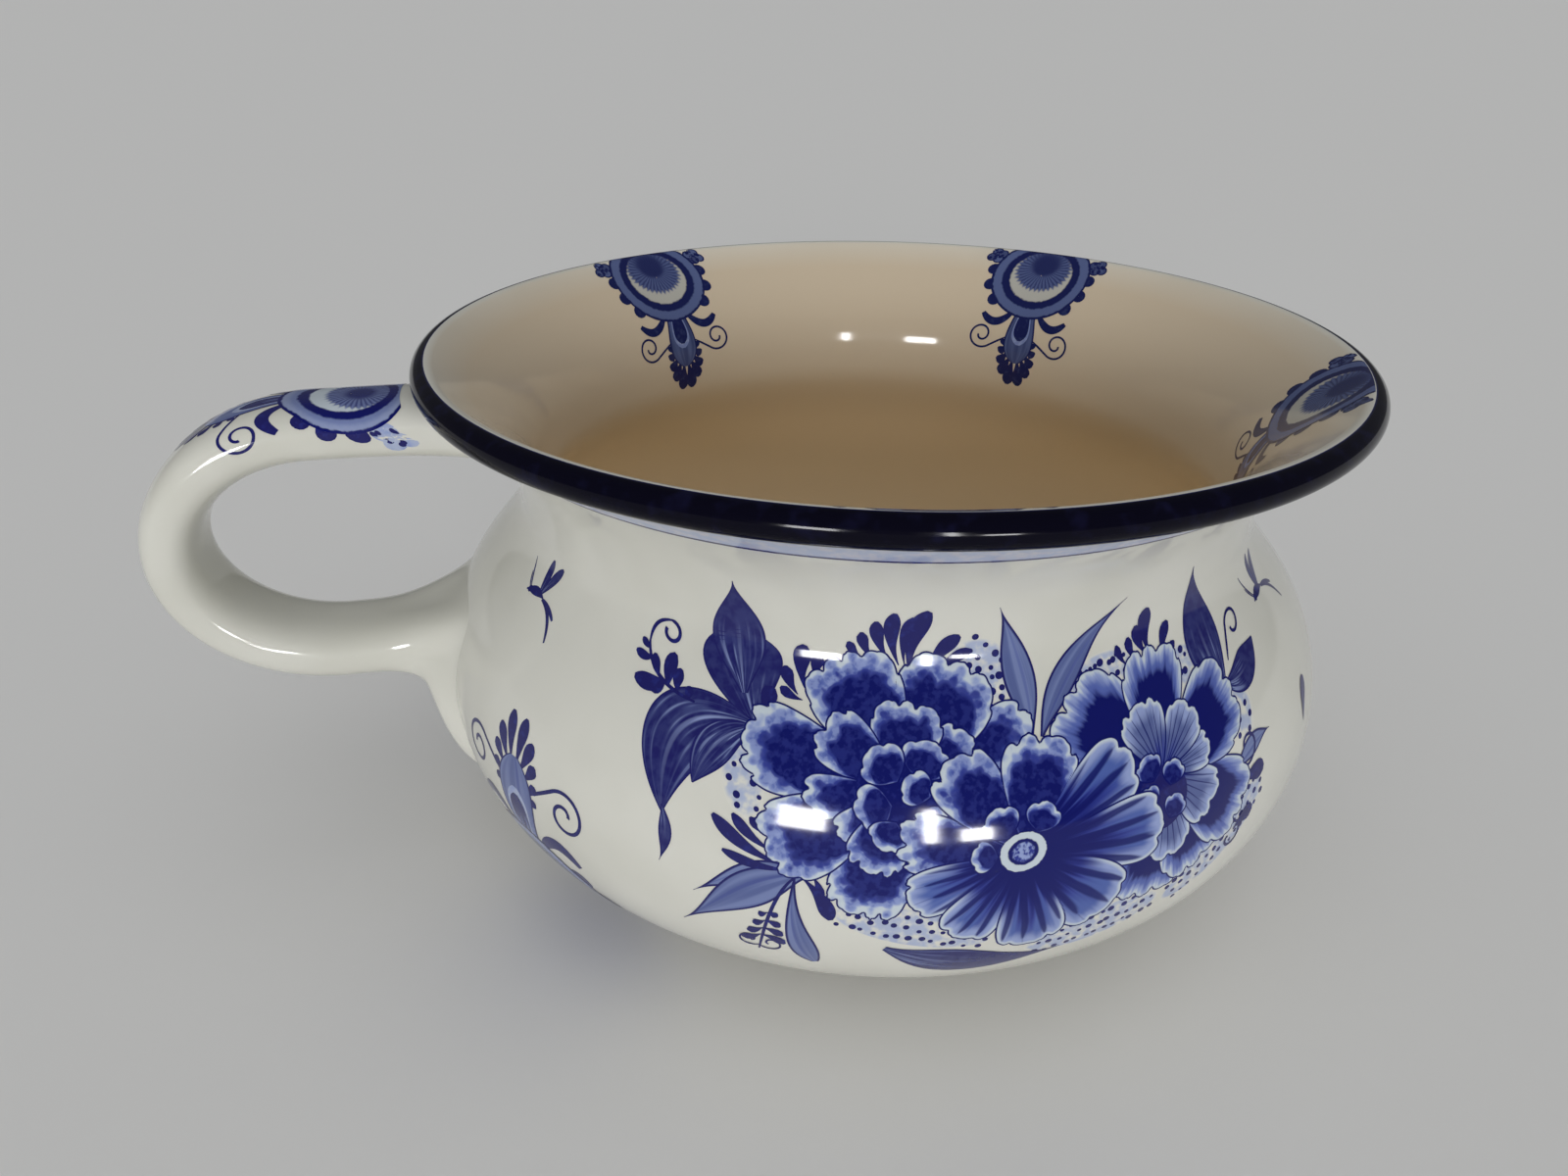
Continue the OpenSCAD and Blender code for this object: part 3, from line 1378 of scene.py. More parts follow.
    def build(self) -> None:
        """Makes the strap and its two joins."""
        upper, loop, lower = self.lengths
        end = upper + loop + lower
        top_join = upper - (self.arm_r - self.upper_end)
        low_join = upper + loop + (self.arm_r - self.form.belly_r - self.join)
        self.build_piece("upper_join", 0.0, top_join, "upper_handle_join")
        self.build_piece("strap", top_join, low_join, "handle_strap")
        self.build_piece("lower_join", low_join, end, "lower_handle_join")


class Surface(Protocol):
    """A side of the pot that a flat print lies on."""

    def place(self, flat: Array, lift: Array) -> tuple[Array, Array]:
        """Points and directions on the pot for places on the flat print."""


@dataclass(frozen=True)
class TurnedSide:
    """Outer or inner side of the turned pot, unrolled round a bearing."""

    outline: Outline
    bearing: float
    arc: float
    inner: bool = False
    upside_down: bool = False

    def place(self, flat: Array, lift: Array) -> tuple[Array, Array]:
        """Wraps a flat print round the pot.

        Args:
            flat: Places on the print in mm, sideways and upwards.
            lift: Height over the glaze in mm.

        Returns:
            Points and outward directions.
        """
        flat = -flat if self.upside_down else flat
        radius, height, heading = self.outline.at(self.arc + flat[:, 1])
        hand = -1.0 if self.inner else 1.0
        angle = math.radians(self.bearing) + hand * flat[:, 0] / radius
        normal = hand * round_axis(angle, heading[:, 1], -heading[:, 0])
        return round_axis(angle, radius, height) + normal * lift[:, None], normal


@dataclass(frozen=True)
class StrapSide:
    """Outer side of the handle, unrolled from its middle line."""

    handle: Handle
    run: float

    def place(self, flat: Array, lift: Array) -> tuple[Array, Array]:
        """Wraps a flat print over the strap; upwards on the print is towards the rim.

        Args:
            flat: Places on the print in mm.
            lift: Height over the glaze in mm.

        Returns:
            Points and outward directions.
        """
        handle = self.handle
        turn = np.linspace(math.pi / 2, -math.pi / 2, handle.fine)
        side, up = handle.oval(turn, handle.power)
        edge = np.stack([side * handle.width / 2, up * handle.thick / 2], -1)
        angle = np.interp(np.abs(flat[:, 0]), run_lengths(edge), turn)
        angle = np.where(flat[:, 0] > 0, math.pi - angle, angle)
        run = self.run - flat[:, 1]
        normal = handle.normals(angle, run)
        return handle.surface(angle, run) + normal * lift[:, None], normal


@dataclass
class Patch:
    """One printed shape, a grid on the flat print, with what its ink needs to know."""

    flat: Array
    along: Array
    across: Array
    edge: Array
    band: float = 1.0


class Shape(Protocol):
    """Anything that can be printed."""

    def patch(self) -> Patch:
        """The shape as a grid."""


def edge_distance(grid: Array, outline: Array) -> Array:
    """Distance of points from a line.

    Args:
        grid: The points, in rows and columns.
        outline: The line's points.

    Returns:
        Distances, in the same rows and columns.
    """
    points = grid.reshape(-1, 1, 2)
    start, step = outline[:-1], np.diff(outline, axis=0)
    length = np.maximum((step ** 2).sum(-1), 1e-12)
    share = np.clip(((points - start) * step).sum(-1) / length, 0, 1)
    gaps = np.linalg.norm(points - start - share[..., None] * step, axis=-1)
    return gaps.min(1).reshape(grid.shape[:2])


@dataclass(frozen=True)
class Petal:
    """Fan-shaped petal with a lobed rim, drawn from its foot."""

    x: float
    y: float
    heading: float
    reach: float
    spread: float
    lobes: int = 5
    band: float = 0.0
    depth: float = 0.07
    corner: float = 4.0
    uneven: float = 0.07
    roundness: float = 0.6
    small: float = 0.2
    fewest_rays: int = 36
    rays_per_mm: float = 2.4
    rays_per_lobe: int = 18
    fewest_rows: int = 8
    row_step: float = 0.75
    crowding: float = 1.5
    band_share: float = 0.2

    def patch(self) -> Patch:
        """The petal as a grid of rays from its foot.

        Returns:
            The grid.
        """
        columns = max(self.fewest_rays, self.lobes * self.rays_per_lobe,
                      int(self.reach * math.radians(self.spread) * self.rays_per_mm))
        rows = max(self.fewest_rows, int(self.reach / self.row_step))
        across = np.linspace(-1, 1, columns + 1)[None, :]
        along = 1 - (1 - np.linspace(0.004, 1, rows)[:, None]) ** self.crowding
        uneven = across + self.uneven * np.sin(2.4 * math.pi * across + self.heading)
        phase = math.pi * self.lobes * uneven / 2
        wave = np.cos if self.lobes % 2 else np.sin
        large, small = (1 - np.abs(wave(rate * phase)) ** self.roundness for rate in (1, 3))
        rim = self.reach * (1 - np.abs(across * 0.998) ** self.corner) ** 0.5
        rim = rim * (1 - self.depth * (large + self.small * small))
        angle = np.radians(self.heading - across * self.spread)
        ray = np.stack([np.cos(angle), np.sin(angle)], -1)
        flat = np.array([self.x, self.y]) + ray * (rim * along)[..., None]
        outline = np.vstack([[(self.x, self.y)], flat[-1], [(self.x, self.y)]])
        return Patch(flat, rim * along / self.reach,
                     np.broadcast_to(across, flat.shape[:2]), edge_distance(flat, outline),
                     self.band or self.band_share * self.reach)


class LeafShape(Enum):
    """How a leaf or stroke widens from its foot to its tip: values that a curve follows."""

    LANCE = (0.15, 0.5, 1.8, 1.3, 0.0, 0.02)
    DROP = (0.08, 0.25, 0.6, 0.95, 1.9, 0.3)
    BROAD = (0.05, 0.8, 1.0, 1.5, 0.9, 0.05)
    BUD = (0.75, 0.9, 1.1, 1.1, 1.25, 0.25)
    LOBE = (0.3, 0.8, 1.1, 1.2, 1.3, 0.3)
    SHOULDER = (0.05, 0.4, 0.9, 1.2, 1.6, 0.3)
    STEM = (0.5, 1.0, 1.0, 1.0, 1.0, 0.5)


@dataclass(frozen=True)
class Leaf:
    """Leaf or brush stroke along a bent spine."""

    foot: Point
    bend: Point
    tip: Point
    width: float
    shape: LeafShape = LeafShape.LANCE
    thinnest: float = 0.07
    fewest_rows: int = 7
    row_step: float = 0.8

    def half_width(self, t: Array) -> Array:
        """Half width along the spine, 0 to 1 from foot to tip."""
        return np.maximum(bezier(self.shape.value, t) * self.width, self.thinnest)

    def patch(self) -> Patch:
        """The leaf as a grid along its spine.

        Returns:
            The grid.
        """
        controls = [self.foot, self.bend, self.tip]
        length = run_lengths(np.array(controls))[-1]
        t = np.linspace(0, 1, max(self.fewest_rows, int(length / self.row_step)))
        return ribbon(bezier(controls, t[:, None]), self.half_width(t))


@dataclass(frozen=True)
class Curl:
    """Thin line that rolls up into a spiral."""

    x: float
    y: float
    heading: float
    radius: float
    turn: float
    width: float = 0.34
    tight: float = 0.82
    lead: float = 0.0
    fewest_rows: int = 24
    row_turn: float = 7.0
    lead_step: float = 0.6
    thin_start: float = 0.48

    def patch(self) -> Patch:
        """The line as a ribbon.

        Returns:
            The grid.
        """
        count = max(self.fewest_rows, int(abs(self.turn) / self.row_turn))
        share = np.linspace(0, 1, count)
        straight = int(self.lead / self.lead_step)
        radius = self.radius * (1 - self.tight * share)
        steps = np.concatenate([np.full(straight, self.lead / max(1, straight)),
                                radius * math.radians(abs(self.turn)) / count])
        angle = np.radians(self.heading + self.turn * np.concatenate([np.zeros(straight), share]))
        moves = np.stack([np.cos(angle), np.sin(angle)], -1) * steps[:, None]
        path = np.array([self.x, self.y]) + np.vstack([[(0, 0)], np.cumsum(moves, 0)])
        taper = np.minimum(1, np.linspace(self.thin_start, 8, len(path))) * self.width
        return ribbon(path, taper)


def ribbon(spine: Array, half: Array) -> Patch:
    """A strip of changing width.

    Args:
        spine: Its middle line.
        half: Its half width along that line.

    Returns:
        The strip as a grid.
    """
    columns = max(3, int(2 * half.max() / STRIP_STEP) + 1)
    columns += 1 - columns % 2
    across = np.linspace(-1, 1, columns)
    ahead = turned(np.gradient(spine, axis=0))
    right = np.stack([ahead[:, 1], -ahead[:, 0]], -1)
    flat = spine[:, None] + right[:, None] * (half[:, None] * across)[..., None]
    along = np.broadcast_to(np.linspace(0, 1, len(spine))[:, None], flat.shape[:2])
    edge = half[:, None] * (1 - np.abs(across))
    return Patch(flat, along, np.broadcast_to(across, flat.shape[:2]), edge)


@dataclass(frozen=True)
class Disc:
    """Round or oval spot; a medallion is one that is cut off level at its top."""

    x: float
    y: float
    radius: float
    flatten: float = 1.0
    tilt: float = 0.0
    cut: float = 0.0
    polar: bool = True
    fewest_rings: int = 3
    ring_step: float = 0.5
    fewest_spokes: int = 13
    spokes_per_mm: float = 7.0

    def patch(self) -> Patch:
        """The spot as rings round its middle.

        Returns:
            The grid.
        """
        rows = max(self.fewest_rings, int(self.radius / self.ring_step) + 1)
        columns = max(self.fewest_spokes, int(self.radius * self.spokes_per_mm))
        angle = np.linspace(0, 2 * math.pi, columns)[None, :]
        out = np.linspace(0.01, 1, rows)[:, None]
        reach = np.full_like(angle, self.radius)
        if self.cut:
            above = np.maximum(np.sin(angle), NOTHING)
            reach = np.where(np.sin(angle) > 0, np.minimum(reach, self.cut / above), reach)
        local = np.stack([-np.cos(angle) * out * reach, np.sin(angle) * out * reach], -1)
        lean = math.radians(self.tilt)
        wide = local * np.array([1.0, self.flatten])
        flat = np.stack([wide[..., 0] * math.cos(lean) - wide[..., 1] * math.sin(lean) + self.x,
                         wide[..., 0] * math.sin(lean) + wide[..., 1] * math.cos(lean) + self.y],
                        -1)
        edge = (1 - out) * reach
        if self.polar:
            return Patch(flat, np.broadcast_to(out, edge.shape), np.zeros_like(edge), edge)
        return Patch(flat, local[..., 1] / self.radius, local[..., 0] / self.radius, edge)


@dataclass
class PrintSheet:
    """All that is printed on one side of the pot, one piece for each ink."""

    name: str
    lift: float = 0.03
    layer_lift: float = 0.005
    seed_range: float = 9.0
    laid: dict[Ink, list[tuple[Array, Array, Patch]]] = field(default_factory=dict)

    def lay(self, patch: Patch, ink: Ink, surface: Surface, layer: int) -> None:
        """Wraps one shape round the pot.

        Args:
            patch: The shape.
            ink: Its ink.
            surface: Side that it lies on.
            layer: How many layers lie under it.
        """
        flat = patch.flat.reshape(-1, 2)
        lift = np.full(len(flat), self.lift + self.layer_lift * layer)
        points, normals = surface.place(flat, lift)
        self.laid.setdefault(ink, []).append((points, normals, patch))

    def build(self) -> None:
        """Makes one piece for each ink."""
        for ink, shapes in self.laid.items():
            faces: list[Array] = []
            numbers: dict[str, list[Array]] = {}
            count = 0
            for index, (points, _, patch) in enumerate(shapes):
                rows, columns = patch.edge.shape
                grid = count + np.arange(rows * columns).reshape(rows, columns)
                faces.append(np.stack([grid[:-1, :-1], grid[:-1, 1:], grid[1:, 1:], grid[1:, :-1]],
                                      -1).reshape(-1, 4))
                count += rows * columns
                seed = (index + 1) * GOLDEN % 1 * self.seed_range
                for key, values in (("along", patch.along), ("across", patch.across),
                                    ("edge", patch.edge), ("band", patch.band),
                                    ("seed", seed)):
                    spread = np.broadcast_to(values, patch.edge.shape).ravel()
                    numbers.setdefault(key, []).append(spread)
            made = mesh_object(f"{self.name}_{ink.value.name}",
                               np.vstack([points for points, _, _ in shapes]),
                               np.vstack(faces).tolist(),
                               np.vstack([normals for _, normals, _ in shapes]),
                               **{key: np.concatenate(parts) for key, parts in numbers.items()})
            keep(made, ink_material(ink), "cobalt_glaze")


def ink_material(ink: Ink) -> bpy.types.Material:
    """The ink's material, made when it is first asked for."""
    return bpy.data.materials.get(ink.value.name) or ink.value.material()


@dataclass
class Brush:
    """Prints on one side of the pot, each stroke over the last."""

    sheet: PrintSheet
    surface: Surface
    layer: int = 0

    def stroke(self, ink: Ink, *shapes: Shape) -> None:
        """Prints shapes of one layer.

        Args:
            ink: Their ink.
            *shapes: The shapes.
        """
        for shape in shapes:
            self.sheet.lay(shape.patch(), ink, self.surface, self.layer)
        self.layer += 1


@dataclass(frozen=True)
class Stipple:
    """Scatter of navy dots on a pale wash, in a leaning oval."""

    x: float
    y: float
    half_x: float
    half_y: float
    tilt: float
    count: int
    seed: int
    margin: float = 2.4
    jitter: float = 0.6
    dot: Span = (0.5, 0.85)

    def paint(self, brush: Brush) -> None:
        """Prints a cloudy wash, then the dots on it.

        Args:
            brush: What prints it.
        """
        draw = np.random.default_rng(self.seed)
        lean = math.radians(self.tilt)
        turn = np.array([[math.cos(lean), math.sin(lean)], [-math.sin(lean), math.cos(lean)]])
        rows = max(1, round(math.sqrt(self.count * self.half_y / self.half_x)))
        columns = max(1, round(self.count / rows))
        grid = np.stack(np.meshgrid(np.linspace(-1, 1, columns), np.linspace(-1, 1, rows)), -1)
        grid[..., 0] += np.where(np.arange(rows) % 2, 1 / columns, 0)[:, None]
        spots = grid.reshape(-1, 2) * (self.half_x, self.half_y)
        spots = spots + draw.uniform(-self.jitter, self.jitter, spots.shape)
        spots = spots @ turn + (self.x, self.y)
        sizes = draw.uniform(*self.dot, len(spots))
        brush.stroke(Ink.WASH, Disc(self.x, self.y, self.half_x + self.margin,
                                    (self.half_y + self.margin) / (self.half_x + self.margin),
                                    self.tilt))
        brush.stroke(Ink.LINE, *(Disc(x, y, size) for (x, y), size in zip(spots, sizes)))


@dataclass(frozen=True)
class Flower:
    """Rings of petals round a middle."""

    x: float
    y: float
    scale: float = 1.0

    def ring(self, brush: Brush, ink: Ink, petals: Sequence[tuple[float, float, float, int]],
             band: float = 0.0, depth: float = 0.07) -> None:
        """Prints petals that start in the middle.

        Args:
            brush: What prints them.
            ink: Their ink.
            petals: Heading, reach, half spread and lobes of each, the lowest first.
            band: Width of the pale band inside their rims.
            depth: Depth of the lobes, as a share of the reach.
        """
        for heading, reach, spread, lobes in petals:
            brush.stroke(ink, Petal(self.x, self.y, heading, reach * self.scale, spread, lobes,
                                    band * self.scale, depth))

    def ground(self, brush: Brush, radius: float) -> None:
        """Prints a full navy ground under the next ring of petals."""
        brush.stroke(Ink.GROUND, Disc(self.x, self.y, radius * self.scale))

    def buds(self, brush: Brush, spots: Sequence[tuple[float, float, float, float]],
             band: float = 1.7) -> None:
        """Prints small round petals.

        Args:
            brush: What prints them.
            spots: Foot's place from the middle, heading and reach of each.
            band: Width of the pale band inside their rims.
        """
        for x, y, heading, reach in spots:
            brush.stroke(Ink.DABBED, Petal(self.x + x * self.scale, self.y + y * self.scale,
                                           heading, reach * self.scale, 68, 3,
                                           band * self.scale, 0.1, 3.0))


def drops(*ends: tuple[float, float, float, float, float],
          shape: LeafShape = LeafShape.DROP) -> list[Leaf]:
    """Bent drops with round heads.

    Args:
        *ends: Foot, head and half width of each.
        shape: How they widen.

    Returns:
        The drops.
    """
    made = []
    for x0, y0, x1, y1, width in ends:
        bow = (0.5 * (x0 + x1) - DROP_BOW * (y1 - y0), 0.5 * (y0 + y1) + DROP_BOW * (x1 - x0))
        made.append(Leaf((x0, y0), bow, (x1, y1), width, shape))
    return made


@dataclass(frozen=True)
class Bouquet:
    """Three large flowers with their leaves, sprigs and stipple."""

    def paint(self, brush: Brush) -> None:
        """Prints the bouquet from its back to its front.

        Args:
            brush: What prints it.
        """
        self.paint_ground(brush)
        self.paint_leaves(brush)
        self.paint_strokes(brush)
        back = brush.layer
        self.paint_right_flower(brush)
        brush.layer = back
        self.paint_peony(brush)
        self.paint_front_flower(brush)

    def paint_ground(self, brush: Brush) -> None:
        """Prints the stipple that fills in round the flowers.

        Args:
            brush: What prints it.
        """
        for spots in ((-8, -18.5, 15, 3.0, -14, 40, 3), (-43.4, 11.5, 2.2, 5.2, 8, 12, 5),
                      (6.5, 36.5, 5.5, 4.4, -40, 26, 7), (33.5, 32.4, 6, 1.8, 10, 18, 11),
                      (58, 28, 4, 1.8, -35, 10, 13), (66, -14, 16, 3, 34, 40, 17),
                      (33, -25, 14, 3.4, 14, 40, 19), (73.5, 13, 2.4, 4, 10, 9, 23)):
            brush.layer = 0
            Stipple(*spots).paint(brush)

    def paint_leaves(self, brush: Brush) -> None:
        """Prints the leaves round the flowers, each over the last.

        Args:
            brush: What prints it.
        """
        broad, lance = LeafShape.BROAD, LeafShape.LANCE
        for ink, leaf in (
                (Ink.DARK, Leaf((-40, 22.5), (-43, 32), (-43.4, 42), 8.0, LeafShape.SHOULDER)),
                (Ink.DARK, Leaf((-42.5, 29), (-43.6, 42), (-44.8, 54), 5.6, lance)),
                (Ink.STREAKED, Leaf((-40, 23), (-63, 26), (-61.8, 1), 7.0, broad)),
                (Ink.STREAKED, Leaf((-40.5, 22.5), (-50, 20), (-54.5, 8.8), 3.7, broad)),
                (Ink.DARK, Leaf((-61.8, 2.5), (-60, -4), (-62.8, -10.8), 1.5, lance)),
                (Ink.WASHED, Leaf((-30, -5.5), (-42, -5.5), (-54.8, -16), 2.7, lance)),
                (Ink.WASHED, Leaf((-30, -6), (-43.5, -9.5), (-57.5, -27), 4.3, lance)),
                (Ink.WASHED, Leaf((-32.6, -7), (-34.5, -21), (-27.4, -34.6), 2.7, LeafShape.DROP)),
                (Ink.WASHED, Leaf((16.3, 22.5), (15.6, 36), (9.4, 51), 3.2, lance)),
                (Ink.WASHED, Leaf((18.5, 22), (23, 35), (39.4, 48), 2.8, lance)),
                (Ink.DARK, Leaf((69, 18), (64, 32), (59.5, 50), 5.6, lance)),
                (Ink.DARK, Leaf((-13.4, -25.2), (3, -36), (26, -31), 5.2, lance)),
                (Ink.DARK, Leaf((69.5, 20.5), (78, 18.5), (85, 25.2), 3.9, broad)),
                (Ink.WASHED, Leaf((70, 2), (77, 7), (84.8, 6), 2.3, lance))):
            brush.stroke(ink, leaf)

    def paint_strokes(self, brush: Brush) -> None:
        """Prints the drops, the sprigs and the curls.

        Args:
            brush: What prints it.
        """
        stem = LeafShape.STEM
        brush.stroke(Ink.LINE, *drops(
            (-12.2, 39, -15, 47.8, 1.3), (-10.2, 38, -11.4, 50, 1.5), (-8, 36, -4.6, 50.6, 1.9),
            (-15.4, 39, -17.8, 45, 1.1), (-17.5, 39, -20.4, 42.6, 0.9), (-4.6, 36, 2, 44.4, 1.5),
            (-3, 36, 4.6, 41, 1.1), (-9, 38, -7.6, 49, 1.2), (-29.5, 32, -29.2, 40.8, 1.7),
            (-27.2, 34, -26, 39.2, 1.3), (-31, 30.5, -33.4, 36, 1.3), (-30, 29.5, -34.6, 31.6, 1.0),
            (-38.2, 24.5, -36, 31.2, 1.6)))
        brush.stroke(Ink.LINE, *drops(
            (46.9, 33.5, 46.2, 43.6, 1.7), (46, 33.5, 43.2, 40.2, 1.3), (50.6, 31.5, 53, 38.8, 1.3),
            (43, 32.8, 41, 38.2, 1.0), (40.4, 32.5, 37.8, 37.2, 0.8), (51.8, 30.5, 54.8, 34, 0.9)))
        brush.stroke(Ink.LINE, *drops(
            (-34.5, -4.6, -50, 3.6, 1.4), (-36.5, -2, -45.6, 4.6, 1.1), (-32, -5, -48, -3.6, 1.0),
            (-31.2, -6.6, -25, -17, 1.6), (-29, -6, -27.2, -11.2, 0.9),
            (-37.5, 1.4, -41.8, 4.6, 0.9)))
        brush.stroke(Ink.LINE, Leaf((-53.8, 24.8), (-65.8, 26.4), (-65.3, 34.6), 0.5, stem),
                     Leaf((-65.3, 34.4), (-64.4, 39.6), (-59.6, 40), 0.42, stem),
                     Curl(-59.8, 40, -4, 2.5, -300, 0.42, 0.45),
                     *drops((-60.4, 26.9, -58.4, 33.4, 1.5), (-62.8, 28, -63.7, 32.2, 1.1),
                            (-61.4, 26.9, -69.2, 26.2, 1.7), (-64.9, 31, -69, 31.6, 1.0),
                            (-65.3, 32.9, -67.2, 34.6, 0.8), (-61.4, 27.4, -64.9, 24.6, 1.2),
                            (-58.2, 26.3, -56.9, 30.6, 1.2), (-55.4, 25, -54.6, 27.6, 0.9),
                            shape=LeafShape.LOBE))
        brush.stroke(Ink.LINE, Leaf((-32.6, -7), (-38.6, -13), (-39.9, -32), 0.42, stem),
                     Curl(-40, -30, 215, 3.0, -400, 0.26), Curl(-40, -30, 310, 3.0, 400, 0.26),
                     *drops(*((-37.9 - 0.45 * step, -14.8 - 2.6 * step,
                               -37.9 + side * (1.2 + 0.9 * step) - 0.3 * step, -15.2 - 3.1 * step,
                               0.7 + 0.12 * step)
                              for side in (-1, 1) for step in range(1, 5))))
        brush.stroke(Ink.LINE, Curl(72.4, 24.4, 74, 3.4, -330, 0.36, 0.6, lead=7.0),
                     Curl(72, 2, -20, 4.6, 330), Curl(70, -10, -10, 4.2, -330),
                     *drops((72, -1.8, 81.6, -1.6, 2.0), (71, -12.6, 78, -9.8, 2.0),
                            (109, -3, 110.5, 7, 2.0)))

    def paint_right_flower(self, brush: Brush) -> None:
        """Prints the flower with dark hatched petals.

        Args:
            brush: What prints it.
        """
        flower = Flower(46.5, 9)
        flower.ring(brush, Ink.HATCHED, (
            (-128, 25, 34, 4), (-95, 29, 34, 5), (-64, 28.5, 30, 5), (-32, 31.5, 30, 5),
            (25, 27.6, 38, 5), (138, 30.4, 33, 5), (89, 26.6, 32, 5)), band=4.4, depth=0.07)
        flower.ground(brush, 11)
        flower.ring(brush, Ink.FANNED, ((-82, 20, 30, 4), (-34, 19, 32, 4), (8, 15, 26, 3),
                                        (50, 15.5, 36, 4), (110, 16.5, 36, 5)), band=2.0)
        brush.stroke(Ink.LINE, Disc(46.5, 4, 6.8))
        flower.buds(brush, ((-2.5, -1, 110, 6.2), (2, -3, 70, 5.8), (-2, -7.4, 130, 6.6),
                            (1.8, -10, 60, 5.8)), 2.2)

    def paint_peony(self, brush: Brush) -> None:
        """Prints the large dabbed flower at the left.

        Args:
            brush: What prints it.
        """
        peony = Flower(-11, 13)
        peony.ring(brush, Ink.DABBED, (
            (26, 31, 19, 3), (62, 29.4, 34, 5), (113, 29.2, 34, 6), (166, 33.4, 26, 5),
            (253, 29.6, 28, 6), (209, 32, 27, 5)), band=4.8, depth=0.06)
        peony.ground(brush, 13)
        peony.ring(brush, Ink.DABBED, (
            (36, 18.5, 28, 3), (82, 18.4, 40, 5), (141, 20, 32, 4), (188, 20.4, 22, 3),
            (218, 16.4, 22, 3), (248, 18.8, 32, 5)), band=3.6, depth=0.08)
        peony.ground(brush, 9)
        peony.buds(brush, ((3, 2, 62, 9), (-0.5, 1.5, 130, 8.8), (-1.6, -3, 188, 8.4),
                           (-1, -6, 240, 7.2), (2, -5, 330, 8), (6, -1.4, 148, 6.8)), 3.4)

    def paint_front_flower(self, brush: Brush) -> None:
        """Prints the open flower in front, with its ring eye.

        Args:
            brush: What prints it.
        """
        front = Flower(13.6, -0.5)
        front.ring(brush, Ink.DABBED, ((172, 26.4, 24, 4), (128, 25, 28, 3), (77, 24, 34, 4)),
                   band=4.6, depth=0.09)
        front.ring(brush, Ink.FINGERED, (
            (32, 30, 24, 3), (204, 25.6, 22, 3), (238, 24.6, 25, 3), (-1, 33.6, 22, 3),
            (-40, 28.5, 30, 3), (-80, 26.5, 28, 3)), depth=0.05)
        front.buds(brush, ((-3, 3, 118, 7.4), (3, 3.5, 70, 7), (-5, -0.5, 178, 6.2)), 2.8)
        brush.stroke(Ink.EYE, Disc(13.6, -0.5, 5.2, 0.84, 14))


